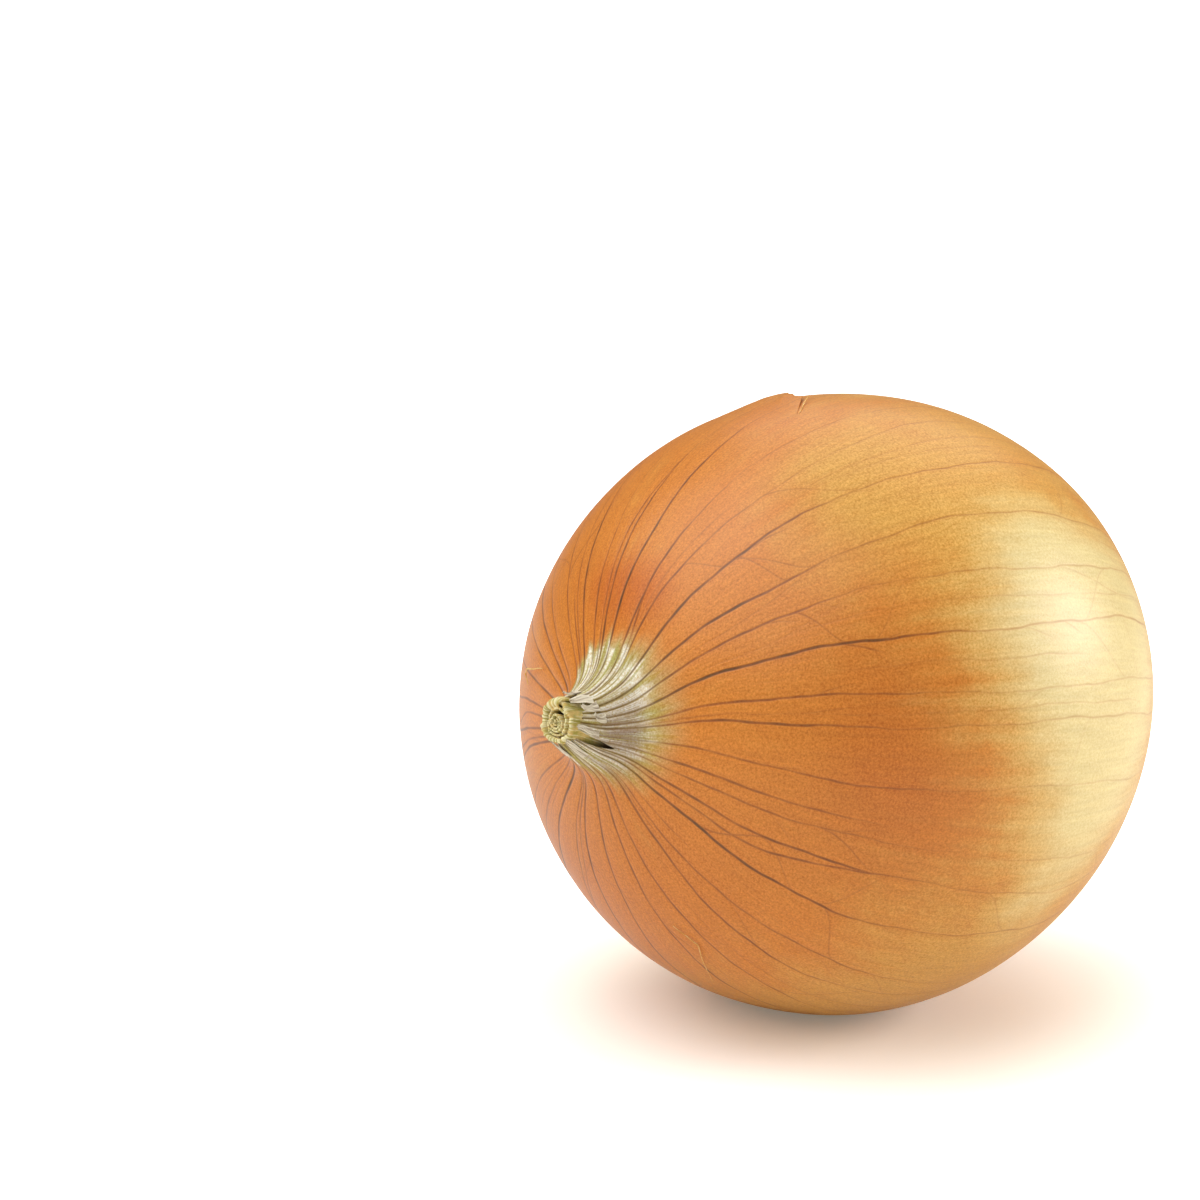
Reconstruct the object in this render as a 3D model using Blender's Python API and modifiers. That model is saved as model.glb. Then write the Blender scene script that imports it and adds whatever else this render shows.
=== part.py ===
"""A whole yellow onion, picked and dried, lying on its side on a small flat spot.

Units are metres and +Z is up. The origin is the centre of the flat spot under the bulb.
The neck points towards -X and a little up, and the root end towards +X.

The onion is built upright round its own axis, neck up, with the bulb's centre at zero.
An empty then lays it down: everything that is parented to it turns and moves as one.
"""

import math
import random

import bmesh
import bpy
from mathutils import Matrix, Vector

# The bulb
BULB_RADIUS = 0.040
NECK_LIFT = math.radians(6.8)
REST_DEPTH = 0.0006

# It grew against its neighbours, so it is a little long one way, thin across that way and
# has three soft corners. The neck and the root end keep their round shape.
LONG_WAY = Vector((0.74, -0.48, 0.47)).normalized()
THIN_WAY = Vector((-0.26, 0.45, 0.86)).normalized()
LOPSIDED = 0.0155
CORNERED = 0.005
TRUE_POLES = math.radians(17)

# The neck: the skin draws up into a pleated collar, which holds the dried leaf bases
COLLAR_RISE = 0.0072
COLLAR_SPREAD = math.radians(6)
SHOULDER_RISE = 0.0007
SHOULDER_SPREAD = math.radians(16)
COLLAR_ANGLE = math.radians(3.75)
COLLAR_WALL = 0.0006
COLLAR_HOLE_DEPTH = 0.0026
COLLAR_HOLE_FLARE = 0.0008
TEAR_SLOPE = math.radians(16)
TORN_SIDE = math.radians(-40)
TEAR_MARGIN = 0.0002
PLEATS = 18
PLEAT_HEIGHT = 0.00026
PLEAT_PEAK = math.radians(5)

# The root end: a flattened base with a shallow seat for the root plate
BASE_FLATTENING = 0.0009
BASE_SPREAD = math.radians(26)
SEAT_RADIUS = 0.0078
SEAT_DEPTH = 0.0012

# The dried leaf bases in the neck
CUT_END = 0.0467
LEAF_CORE_TOP = 0.0459
LEAF_WALL = 0.0006
LEAF_ROLL_RADIUS = 0.0023
LEAF_ROLL_PITCH = 0.0009
LEAF_ROLL_TURNS = 1.3
LEAF_RIBS = 17
LEAF_RIB_HEIGHT = 0.00012
HEART_RADIUS = 0.0004
HEART_OFFSET = Vector((0.0, -0.0001, 0.0))

# The root plate and its trimmed roots
PLATE_STANDS_PROUD = 0.0009
ROOTS = 64
ROOT_THICKNESS = 0.0007
ROOT_LENGTHS = (0.0030, 0.0058)
ROOT_SUNK = 0.0009
ROOT_SPLAY = math.radians(48)
ROOT_BEND = 0.0011
ROOT_SEED = 7

GAP = 0.0003
ROUND_STEPS = 72
SKIN_RINGS = 38
MERGE = 0.00001
GOLDEN_ANGLE = math.radians(137.508)

SKIN_ORANGE = (0.520, 0.200, 0.048, 1.0)
LEAF_STRAW = (0.420, 0.350, 0.130, 1.0)
ROOT_TAN = (0.330, 0.225, 0.120, 1.0)


def clear_scene():
    for obj in list(bpy.data.objects):
        bpy.data.objects.remove(obj, do_unlink=True)


def make_collection(name):
    collection = bpy.data.collections.new(name)
    bpy.context.scene.collection.children.link(collection)
    return collection


def add_object(name, mesh, collection):
    obj = bpy.data.objects.new(name, mesh)
    collection.objects.link(obj)
    return obj


def make_material(name, colour, roughness):
    material = bpy.data.materials.new(name)
    material.use_nodes = True
    shader = material.node_tree.nodes["Principled BSDF"]
    shader.inputs["Base Color"].default_value = colour
    shader.inputs["Roughness"].default_value = roughness
    shader.inputs["Metallic"].default_value = 0.0
    material.diffuse_color = colour
    return material


def lay_down():
    """The turn from the upright onion to the one that lies on its side, neck lifted a little."""
    return Matrix.Rotation(-(math.pi / 2 - NECK_LIFT), 4, "Y")


def skin_distance(polar):
    """How far the turned skin is from the bulb's centre, at an angle from the neck's axis."""
    collar = COLLAR_RISE * math.exp(-((polar / COLLAR_SPREAD) ** 2))
    shoulder = SHOULDER_RISE * math.exp(-((polar / SHOULDER_SPREAD) ** 2))
    base = BASE_FLATTENING * math.exp(-(((math.pi - polar) / BASE_SPREAD) ** 2))
    return BULB_RADIUS + collar + shoulder - base


def collar_radius():
    return skin_distance(COLLAR_ANGLE) * math.sin(COLLAR_ANGLE)


def collar_top():
    """The height of the collar's rim over the bulb's centre, before it is torn."""
    return skin_distance(COLLAR_ANGLE) * math.cos(COLLAR_ANGLE)


def seat_angle():
    """The polar angle of the rim of the root plate's seat."""
    return math.pi - math.asin(SEAT_RADIUS / (BULB_RADIUS - BASE_FLATTENING))


def seat_top():
    """The height of the seat's rim, which is below the bulb's centre."""
    return skin_distance(seat_angle()) * math.cos(seat_angle())


def skin_profile():
    """The bulb's half outline, from the bottom of the neck's hole over the skin to the root seat."""
    hole_bottom = collar_top() - COLLAR_HOLE_DEPTH
    hole_radius = collar_radius() - COLLAR_WALL
    points = [
        (0.0, hole_bottom),
        (hole_radius + COLLAR_HOLE_FLARE, hole_bottom),
        (hole_radius, collar_top()),
    ]
    for ring in range(SKIN_RINGS + 1):
        share = (ring / SKIN_RINGS) ** 1.5
        polar = COLLAR_ANGLE + share * (seat_angle() - COLLAR_ANGLE)
        distance = skin_distance(polar)
        points.append((distance * math.sin(polar), distance * math.cos(polar)))
    seat_floor = seat_top() + SEAT_DEPTH
    points += [(SEAT_RADIUS, seat_floor), (0.0, seat_floor)]
    return points


def turned(name, points, steps):
    """A mesh made by turning a half outline round the upright axis with a Screw modifier."""
    mesh = bpy.data.meshes.new(name)
    vertices = [(radius, 0.0, height) for radius, height in points]
    edges = [(i, i + 1) for i in range(len(points) - 1)]
    mesh.from_pydata(vertices, edges, [])
    obj = add_object(name, mesh, bpy.context.scene.collection)
    screw = obj.modifiers.new("Turn", "SCREW")
    screw.steps = steps
    screw.render_steps = steps
    screw.use_merge_vertices = True
    screw.merge_threshold = MERGE
    return evaluated_mesh(obj)


def evaluated_mesh(obj):
    """The mesh that an object's modifiers or bevel make. The object itself is removed."""
    graph = bpy.context.evaluated_depsgraph_get()
    mesh = bpy.data.meshes.new_from_object(obj.evaluated_get(graph))
    bpy.data.objects.remove(obj, do_unlink=True)
    return mesh


def lopsided_scale(point):
    """How much farther out than a ball's the skin is, along the way from the centre to a point."""
    away = point.normalized()
    polar = away.angle(Vector((0.0, 0.0, 1.0)))
    from_pole = min(polar, math.pi - polar)
    fade = 1.0 - math.exp(-((from_pole / TRUE_POLES) ** 2))
    lying = lay_down().to_3x3() @ away
    long = lying.dot(LONG_WAY)
    thin = lying.dot(THIN_WAY)
    bulge = LOPSIDED * (long**2 - thin**2) + CORNERED * (long**3 - 3 * long * thin**2)
    return 1.0 + bulge * fade


def shape_skin(bm):
    """Pleats the skin round the neck and makes the bulb lopsided."""
    bm.normal_update()
    normals = {vertex: vertex.normal.copy() for vertex in bm.verts}
    for vertex, normal in normals.items():
        x, y, z = vertex.co
        past_rim = vertex.co.angle(Vector((0.0, 0.0, 1.0))) - COLLAR_ANGLE
        if past_rim > 0.0 and z > seat_top() - MERGE:
            reach = past_rim / PLEAT_PEAK
            height = PLEAT_HEIGHT * reach * math.exp(1.0 - reach)
            vertex.co += normal * height * math.cos(PLEATS * math.atan2(y, x))
        vertex.co *= lopsided_scale(vertex.co)


def tear_collar(bulb, cutters):
    """Cuts the collar's rim off on a slant, so that it is torn lower on one side."""
    size = 4 * collar_radius()
    high_side = Vector((math.cos(TORN_SIDE + math.pi), math.sin(TORN_SIDE + math.pi), 0.0))
    hinge = high_side * collar_radius() + Vector((0.0, 0.0, collar_top() - TEAR_MARGIN))
    slant = Matrix.Rotation(TORN_SIDE, 4, "Z") @ Matrix.Rotation(TEAR_SLOPE, 4, "Y")
    bm = bmesh.new()
    bmesh.ops.create_cube(bm, size=size, matrix=Matrix.Translation((0.25 * size, 0, size / 2)))
    mesh = bpy.data.meshes.new("collar tear")
    bm.to_mesh(mesh)
    bm.free()
    cutter = add_object("collar tear", mesh, cutters)
    cutter.matrix_world = Matrix.Translation(hinge) @ slant
    cutter.hide_render = True
    cutter.display_type = "WIRE"
    cut = bulb.modifiers.new("Tear", "BOOLEAN")
    cut.operation = "DIFFERENCE"
    cut.object = cutter
    cut.solver = "EXACT"
    apply_modifiers(bulb)


def apply_modifiers(obj):
    bpy.context.view_layer.update()
    graph = bpy.context.evaluated_depsgraph_get()
    mesh = bpy.data.meshes.new_from_object(obj.evaluated_get(graph))
    obj.modifiers.clear()
    obj.data = mesh


def make_bulb(collection, cutters, laid):
    """The bulb in its skin, cut flat where it rests. Returns the object and the flat's centre."""
    mesh = turned("bulb", skin_profile(), ROUND_STEPS)
    bm = bmesh.new()
    bm.from_mesh(mesh)
    bmesh.ops.remove_doubles(bm, verts=bm.verts, dist=MERGE)
    bmesh.ops.recalc_face_normals(bm, faces=bm.faces)
    shape_skin(bm)
    lowest = min((laid @ vertex.co).z for vertex in bm.verts)
    floor_height = lowest + REST_DEPTH
    upright = laid.inverted()
    geometry = list(bm.verts) + list(bm.edges) + list(bm.faces)
    cut = bmesh.ops.bisect_plane(
        bm,
        geom=geometry,
        dist=MERGE,
        plane_co=upright @ Vector((0.0, 0.0, floor_height)),
        plane_no=upright.to_3x3() @ Vector((0.0, 0.0, -1.0)),
        clear_outer=True,
    )
    rim = [item for item in cut["geom_cut"] if isinstance(item, bmesh.types.BMEdge)]
    flat = bmesh.ops.contextual_create(bm, geom=rim)["faces"][0]
    flat_centre = laid @ flat.calc_center_median()
    bmesh.ops.recalc_face_normals(bm, faces=bm.faces)
    bm.to_mesh(mesh)
    bm.free()
    bulb = add_object("bulb", mesh, collection)
    tear_collar(bulb, cutters)
    shade_round(bulb)
    return bulb, flat_centre


def shade_round(obj):
    obj.data.shade_smooth()
    obj.data.set_sharp_from_angle(angle=math.radians(40))


def joined(base, extras):
    """One Boolean union of the base and the extra pieces, applied. The extra pieces are removed."""
    pieces = make_collection("pieces to join")
    for extra in extras:
        pieces.objects.link(extra)
        bpy.context.scene.collection.objects.unlink(extra)
    union = base.modifiers.new("Join", "BOOLEAN")
    union.operation = "UNION"
    union.operand_type = "COLLECTION"
    union.collection = pieces
    union.solver = "EXACT"
    apply_modifiers(base)
    for extra in extras:
        bpy.data.objects.remove(extra, do_unlink=True)
    bpy.data.collections.remove(pieces)


def leaf_core():
    """The leaf bases pressed together inside the collar, which open into a cup at the cut end."""
    bottom = collar_top() - COLLAR_HOLE_DEPTH + GAP
    held = collar_radius() - COLLAR_WALL - GAP
    held_at_bottom = held + COLLAR_HOLE_FLARE * (1 - GAP / COLLAR_HOLE_DEPTH)
    return [
        (0.0, LEAF_CORE_TOP),
        (LEAF_ROLL_RADIUS, LEAF_CORE_TOP),
        (LEAF_ROLL_RADIUS, collar_top() + GAP / 2),
        (held, collar_top()),
        (held_at_bottom, bottom),
        (0.0, bottom),
    ]


def leaf_roll():
    """One dried leaf base rolled up in the neck: a spiral wall, ribbed by the veins in it."""
    steps_a_turn = 51
    steps = round(steps_a_turn * LEAF_ROLL_TURNS)
    foot = LEAF_CORE_TOP - GAP
    bm = bmesh.new()
    wall = []
    for step in range(steps + 1):
        turn = step / steps_a_turn
        angle = math.tau * turn + TORN_SIDE
        radius = LEAF_ROLL_RADIUS - LEAF_ROLL_PITCH * turn
        radius += LEAF_RIB_HEIGHT * math.cos(LEAF_RIBS * angle)
        wall.append(bm.verts.new((radius * math.cos(angle), radius * math.sin(angle), foot)))
    edges = [bm.edges.new(pair) for pair in zip(wall, wall[1:])]
    raised = bmesh.ops.extrude_edge_only(bm, edges=edges)["geom"]
    top = [item for item in raised if isinstance(item, bmesh.types.BMVert)]
    for vertex in top:
        around = math.atan2(vertex.co.y, vertex.co.x)
        vertex.co.z = CUT_END - LEAF_WALL * (1 + math.cos(around - TORN_SIDE)) / 4
    bmesh.ops.recalc_face_normals(bm, faces=bm.faces)
    mesh = bpy.data.meshes.new("leaf roll")
    bm.to_mesh(mesh)
    bm.free()
    roll = add_object("leaf roll", mesh, bpy.context.scene.collection)
    wall_thickness = roll.modifiers.new("Wall", "SOLIDIFY")
    wall_thickness.thickness = LEAF_WALL
    wall_thickness.offset = 0.0
    return add_object("leaf roll", evaluated_mesh(roll), bpy.context.scene.collection)


def leaf_heart():
    """The innermost leaf, a thin dry spike in the middle of the roll."""
    foot = LEAF_CORE_TOP - LEAF_WALL
    bm = bmesh.new()
    middle = Matrix.Translation(HEART_OFFSET + Vector((0.0, 0.0, (foot + CUT_END) / 2)))
    bmesh.ops.create_cone(
        bm,
        cap_ends=True,
        segments=10,
        radius1=HEART_RADIUS,
        radius2=HEART_RADIUS * 0.7,
        depth=CUT_END - foot,
        matrix=middle,
    )
    mesh = bpy.data.meshes.new("leaf heart")
    bm.to_mesh(mesh)
    bm.free()
    return add_object("leaf heart", mesh, bpy.context.scene.collection)


def make_neck_leaves(collection):
    leaves = add_object("neck_leaves", turned("neck_leaves", leaf_core(), 24), collection)
    joined(leaves, [leaf_roll(), leaf_heart()])
    shade_round(leaves)
    return leaves


def plate_profile():
    """The corky root plate: a low dome that stands a little proud of its seat."""
    top = seat_top() + SEAT_DEPTH - GAP
    radius = SEAT_RADIUS - GAP
    points = [(0.0, top), (radius, top), (radius, seat_top())]
    for step in range(1, 6):
        angle = step / 5 * math.pi / 2
        height = seat_top() - PLATE_STANDS_PROUD * math.sin(angle)
        points.append((radius * math.cos(angle), height))
    return points


def root(number, draw):
    """One trimmed dry root: a thin tapering tube that leaves the plate, splays out and bends."""
    share = math.sqrt((number + 0.5) / ROOTS)
    around = number * GOLDEN_ANGLE
    out = Vector((math.cos(around), math.sin(around), 0.0))
    across = Vector((-out.y, out.x, 0.0))
    from_axis = share * (SEAT_RADIUS - GAP - 1.6 * ROOT_THICKNESS)
    plate_height = seat_top() - PLATE_STANDS_PROUD * math.sqrt(max(0.0, 1 - share**2))
    start = out * from_axis + Vector((0.0, 0.0, plate_height))
    splay = ROOT_SPLAY * share * draw.uniform(0.7, 1.1)
    away = Vector((0.0, 0.0, -math.cos(splay))) + out * math.sin(splay)
    bend = across * draw.uniform(-1, 1) * ROOT_BEND + out * draw.uniform(-0.4, 1) * ROOT_BEND
    length = draw.uniform(*ROOT_LENGTHS)
    curve = bpy.data.curves.new("root", "CURVE")
    curve.dimensions = "3D"
    curve.bevel_depth = ROOT_THICKNESS / 2
    curve.bevel_resolution = 1
    curve.use_fill_caps = True
    spline = curve.splines.new("POLY")
    stops = 4
    spline.points.add(stops - 1)
    for stop, point in enumerate(spline.points):
        along = stop / (stops - 1)
        place = start + away * (along * (length + ROOT_SUNK) - ROOT_SUNK) + bend * along**2
        point.co = (*place, 1.0)
        point.radius = 1.0 - 0.4 * along
    tube = add_object("root", curve, bpy.context.scene.collection)
    mesh = evaluated_mesh(tube)
    bm = bmesh.new()
    bm.from_mesh(mesh)
    bmesh.ops.remove_doubles(bm, verts=bm.verts, dist=MERGE)
    bmesh.ops.recalc_face_normals(bm, faces=bm.faces)
    bm.to_mesh(mesh)
    bm.free()
    return add_object("root", mesh, bpy.context.scene.collection)


def make_root_tuft(collection):
    draw = random.Random(ROOT_SEED)
    tuft = add_object("root_tuft", turned("root_tuft", plate_profile(), 36), collection)
    joined(tuft, [root(number, draw) for number in range(ROOTS)])
    shade_round(tuft)
    return tuft


def main():
    clear_scene()
    onion = make_collection("onion")
    cutters = make_collection("cutters")
    laid = lay_down()
    bulb, flat_centre = make_bulb(onion, cutters, laid)
    neck_leaves = make_neck_leaves(onion)
    root_tuft = make_root_tuft(onion)
    bulb.data.materials.append(make_material("dry onion skin", SKIN_ORANGE, 0.45))
    neck_leaves.data.materials.append(make_material("dried leaf base", LEAF_STRAW, 0.8))
    root_tuft.data.materials.append(make_material("corky root plate", ROOT_TAN, 0.9))
    axis = add_object("onion axis", None, bpy.context.scene.collection)
    axis.location = -flat_centre
    axis.rotation_euler = laid.to_euler()
    for piece in [*onion.objects, *cutters.objects]:
        piece.parent = axis


main()
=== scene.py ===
# %% [markdown]
# # A whole yellow onion
# A bulb onion lies on its side. The dry brown and golden skin that wraps it is called the
# tunic. The tunic draws up into a pleated papery collar round the neck, where the dried leaf
# bases were cut off short. The roots were trimmed at the other end.
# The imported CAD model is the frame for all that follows: it fixes the sizes and the places.

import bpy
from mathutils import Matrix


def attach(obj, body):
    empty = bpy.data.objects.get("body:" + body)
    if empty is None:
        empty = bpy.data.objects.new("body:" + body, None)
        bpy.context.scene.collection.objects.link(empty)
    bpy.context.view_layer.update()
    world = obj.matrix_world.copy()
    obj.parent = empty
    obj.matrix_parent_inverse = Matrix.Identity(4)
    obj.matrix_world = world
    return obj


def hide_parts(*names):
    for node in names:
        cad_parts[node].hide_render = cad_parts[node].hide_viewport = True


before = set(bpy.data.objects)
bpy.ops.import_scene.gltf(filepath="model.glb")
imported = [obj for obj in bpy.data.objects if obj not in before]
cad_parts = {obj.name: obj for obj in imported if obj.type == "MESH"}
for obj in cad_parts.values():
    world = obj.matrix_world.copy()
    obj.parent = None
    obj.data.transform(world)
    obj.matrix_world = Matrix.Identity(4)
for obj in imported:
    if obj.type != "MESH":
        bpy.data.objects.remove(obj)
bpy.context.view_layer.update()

# %% [markdown]
# Numpy moves many vertices at once. Every random draw below has its own seed, so the onion comes
# out the same each time.

# %% Import what the lesson uses
import math
import random

import bpy
import numpy as np
from mathutils import Matrix, Vector

# %% [markdown]
# ## Where the onion lies
# An onion grows upright round an axis from its roots to its neck, so every piece here is
# modelled upright, neck up, with the bulb's centre at zero. Work in millimetres is easiest to
# read for something this small. One matrix then lays each finished piece on its side, neck
# towards -X and lifted a little, exactly where the CAD model has it.

# %% Lay the onion down
MM = 0.001
BULB_CENTRE = Vector((0.00085, -0.00109, 0.03927))
NECK_LIFT = math.radians(6.8)
TURN = Matrix.Rotation(-(math.pi / 2 - NECK_LIFT), 4, "Y")
LAID = Matrix.Translation(BULB_CENTRE) @ TURN @ Matrix.Scale(MM, 4)


def lay_down(piece):
    """Moves a piece that was modelled upright, in millimetres, to its place on the onion."""
    bpy.ops.object.select_all(action="DESELECT")
    piece.select_set(True)
    bpy.context.view_layer.objects.active = piece
    piece.matrix_world = LAID @ piece.matrix_world
    bpy.ops.object.transform_apply(location=True, rotation=True, scale=True)
    return piece


def keep_as(name):
    """Gives the object that was just made its name, and returns it."""
    piece = bpy.context.object
    piece.name = name
    piece.data.name = name
    return piece


# %% [markdown]
# ## The form of the tunic
# A bulb is nearly a ball. Its outline could be drawn by hand as a curve, but a formula keeps
# the ball perfectly smooth and gives the neck, the root end and the slight lopsidedness as
# three small terms. The formula says how far the skin is from the bulb's centre, at an angle
# from the neck. It is the same one that the CAD model was turned from. Only the neck leans a
# little here: its foot sits lower on the bulb than its tip.

# %% How far the skin is from the bulb's centre
BULB_RADIUS = 40.0
COLLAR_RISE = 7.2
COLLAR_SPREAD = math.radians(6)
SHOULDER_RISE = 0.7
SHOULDER_SPREAD = math.radians(16)
BASE_FLATTENING = 0.9
BASE_SPREAD = math.radians(26)
LONG_WAY = np.array(Vector((0.74, -0.48, 0.47)).normalized())
THIN_WAY = np.array(Vector((-0.26, 0.45, 0.86)).normalized())
LOPSIDED = 0.0155
CORNERED = 0.005
TRUE_POLES = math.radians(17)
NECK_FOOT_PUSH = np.array((-1.25, -1.3))
NECK_TIP_PUSH = np.array((-0.6, -0.45))
LEAN_FULL = 3.5
LEAN_REACH = 19.0
LEAN_LOW = 42.5
LEAN_HIGH = 47.0


def skin_distance(polar):
    """The turned skin's distance from the bulb's centre, at an angle from the neck's axis."""
    collar = COLLAR_RISE * np.exp(-((polar / COLLAR_SPREAD) ** 2))
    shoulder = SHOULDER_RISE * np.exp(-((polar / SHOULDER_SPREAD) ** 2))
    base = BASE_FLATTENING * np.exp(-(((math.pi - polar) / BASE_SPREAD) ** 2))
    return BULB_RADIUS + collar + shoulder - base


def lopsided_scale(polar, around):
    """How much farther out than a ball's the skin is: long one way, thin across that way."""
    flat = np.sin(polar)
    away = np.stack([flat * np.cos(around), flat * np.sin(around), np.cos(polar)], axis=-1)
    lying = away @ np.array(TURN.to_3x3()).T
    long = lying @ LONG_WAY
    thin = lying @ THIN_WAY
    from_pole = np.minimum(polar, math.pi - polar)
    fade = 1.0 - np.exp(-((from_pole / TRUE_POLES) ** 2))
    bulge = LOPSIDED * (long**2 - thin**2) + CORNERED * (long**3 - 3 * long * thin**2)
    return 1.0 + bulge * fade


def smooth_step(low, high, value):
    """0 below low, 1 above high, and an even change between them."""
    share = np.clip((value - low) / (high - low), 0.0, 1.0)
    return share * share * (3.0 - 2.0 * share)


def turned_angle(difference):
    """A difference of two angles, brought to between minus and plus half a turn."""
    return (difference + math.pi) % math.tau - math.pi


def lean(upright):
    """Leans the neck: its foot is pushed low and to the front, and the cut end less so."""
    from_axis = np.hypot(upright[:, 0], upright[:, 1])
    by_neck = (1 - smooth_step(LEAN_FULL, LEAN_REACH, from_axis)) * (upright[:, 2] > 0)
    tipward = smooth_step(LEAN_LOW, LEAN_HIGH, upright[:, 2])
    push = np.outer(1 - tipward, NECK_FOOT_PUSH) + np.outer(tipward, NECK_TIP_PUSH)
    leaned = upright.copy()
    leaned[:, :2] += push * by_neck[:, None]
    return leaned


print("across the equator", 2 * skin_distance(math.pi / 2), "mm")

# %% [markdown]
# ## The veins
# Each scale of an onion is a leaf base, and the veins in it run from the neck to the roots like
# meridians on a globe. They wander a little, thin ones join thick ones, and short links cross
# from one to the next. A stretched texture could stand in for them, but it can't make a vein
# that starts at the neck and ends in its neighbour. So each vein is a path here: its angle
# round the axis as a function of how far it is from the neck. A path also has a strength at
# each place, which later gives the line its width and its darkness.

# %% Draw the veins as paths
MAIN_VEINS = 34
THIN_VEINS = 24
FAINT_VEINS = 16
ROOT_VEINS = 16
CROSS_LINKS = 84
SPURS = 90
PATH_STOPS = 600
VEIN_SEED = 23
WANDERS = ((80, 0.019), (21, 0.0048), (8, 0.0018), (3.4, 0.0007))
PATCH_WAVES = (31, 13, 5)
BRANCH_LENGTHS = (5, 15)
JOINING = 0.6

polar_stops = np.linspace(math.radians(2), math.radians(174), PATH_STOPS)
vein_draw = random.Random(VEIN_SEED)


def wander():
    """A smooth sideways drift along a path, made of a few waves. Angles are in radians."""
    drift = np.zeros(PATH_STOPS)
    for wave_degrees, size in WANDERS:
        height = size * vein_draw.uniform(0.4, 1.0)
        phase = vein_draw.uniform(0, math.tau)
        drift += height * np.sin(math.tau * polar_stops / math.radians(wave_degrees) + phase)
    return drift


def patchy(depth):
    """A strength that rises and falls along a vein, because the sap dried unevenly in it."""
    waves = np.zeros(PATH_STOPS)
    for wave_degrees in PATCH_WAVES:
        phase = vein_draw.uniform(0, math.tau)
        waves += np.sin(math.tau * polar_stops / math.radians(wave_degrees) + phase) / 3
    return 1.0 - depth * (0.5 + 0.5 * waves)


def main_vein(number):
    """A vein that runs all the way, dark by the neck and pale by the roots."""
    place = math.tau * (number + vein_draw.uniform(-0.24, 0.24)) / MAIN_VEINS
    by_table = 0.5 - 0.5 * math.cos(place)
    dark_until = math.radians(vein_draw.uniform(20, 37) + 26 * by_table)
    pale_from = dark_until + math.radians(vein_draw.uniform(22, 38))
    strength = 1.0 - 0.45 * smooth_step(dark_until, pale_from, polar_stops)
    strength += 0.25 * smooth_step(math.radians(135), math.radians(170), polar_stops)
    strength *= 1.0 - vein_draw.uniform(0.0, 0.35)
    return place + wander(), strength * patchy(0.30)


def pick_gap(main_paths):
    """Picks a main vein: its number, its path, and the gap from it to the next one."""
    left = vein_draw.randrange(MAIN_VEINS)
    start = main_paths[left]
    return left, start, turned_angle(main_paths[(left + 1) % MAIN_VEINS] - start)


def thin_vein(main_paths):
    """A thinner vein from the neck, which joins its neighbour or dies out on the way."""
    left, start, gap = pick_gap(main_paths)
    path = start + gap * vein_draw.uniform(0.32, 0.68) + 0.4 * wander()
    end = math.radians(vein_draw.uniform(17, 78))
    if vein_draw.random() < JOINING:
        target = start if vein_draw.random() < 0.5 else start + gap
        path = path + (target - path) * smooth_step(0.55 * end, end, polar_stops)
        ending = polar_stops < end
    else:
        ending = 1.0 - smooth_step(0.55 * end, end, polar_stops)
    return path, vein_draw.uniform(0.34, 0.78) * ending * patchy(0.35)


def faint_vein(main_paths):
    """A faint long vein, which shows between two strong ones once they have drawn apart."""
    left, start, gap = pick_gap(main_paths)
    path = start + gap * vein_draw.uniform(0.38, 0.62) + 0.5 * wander()
    low = math.radians(vein_draw.uniform(22, 44))
    high = math.radians(vein_draw.uniform(85, 150))
    showing = smooth_step(low, low + 0.3, polar_stops) * (1 - smooth_step(high, high + 0.4, polar_stops))
    return path, vein_draw.uniform(0.26, 0.42) * showing * patchy(0.4)


def root_vein(main_paths):
    """A thin vein that comes up from the roots and joins its neighbour."""
    left, start, gap = pick_gap(main_paths)
    path = start + gap * vein_draw.uniform(0.3, 0.7) + 0.4 * wander()
    end = math.radians(vein_draw.uniform(88, 140))
    target = start if vein_draw.random() < 0.5 else start + gap
    path = path + (target - path) * (1.0 - smooth_step(end, end + 0.4, polar_stops))
    return path, 0.34 * (polar_stops > end) * patchy(0.4)


def cross_link(main_paths, main_strengths):
    """A short slanting link from one main vein to the next, fainter where they are faint."""
    left, start, gap = pick_gap(main_paths)
    low = math.radians(vein_draw.uniform(26, 128))
    high = low + math.radians(vein_draw.uniform(*BRANCH_LENGTHS))
    climb = smooth_step(low, high, polar_stops)
    share = climb if vein_draw.random() < 0.5 else 1.0 - climb
    inside = (polar_stops > low) & (polar_stops < high)
    path = start + gap * share + 0.35 * wander()
    return path, (0.10 + vein_draw.uniform(0.30, 0.55) * main_strengths[left]) * inside


def spur(main_paths, main_strengths):
    """A short side branch that leaves a main vein and dies out."""
    low = math.radians(vein_draw.triangular(11, 125, 24))
    high = low + math.radians(vein_draw.uniform(*BRANCH_LENGTHS))
    side = vein_draw.choice((-1, 1)) * vein_draw.uniform(0.02, 0.075)
    leaving = smooth_step(low, high, polar_stops) ** 0.8
    inside = (polar_stops > low) * (1.0 - smooth_step(0.5 * (low + high), high, polar_stops))
    parent = vein_draw.randrange(MAIN_VEINS)
    path = main_paths[parent] + side * leaving + 0.25 * wander()
    return path, (0.06 + vein_draw.uniform(0.32, 0.58) * main_strengths[parent]) * inside


veins = [main_vein(number) for number in range(MAIN_VEINS)]
main_paths = [path for path, strength in veins]
main_strengths = [strength for path, strength in veins]
veins += [thin_vein(main_paths) for _ in range(THIN_VEINS)]
veins += [root_vein(main_paths) for _ in range(ROOT_VEINS)]
veins += [faint_vein(main_paths) for _ in range(FAINT_VEINS)]
gathered_veins = len(veins)
veins += [cross_link(main_paths, main_strengths) for _ in range(CROSS_LINKS)]
veins += [spur(main_paths, main_strengths) for _ in range(SPURS)]
print(len(veins), "veins, of which", gathered_veins, "gather the skin into pleats")

# %% [markdown]
# The skin has to know how far each of its places is from each vein, sideways along the skin. The
# angle between them times the distance from the axis gives that, or less where a vein slants.

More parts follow.
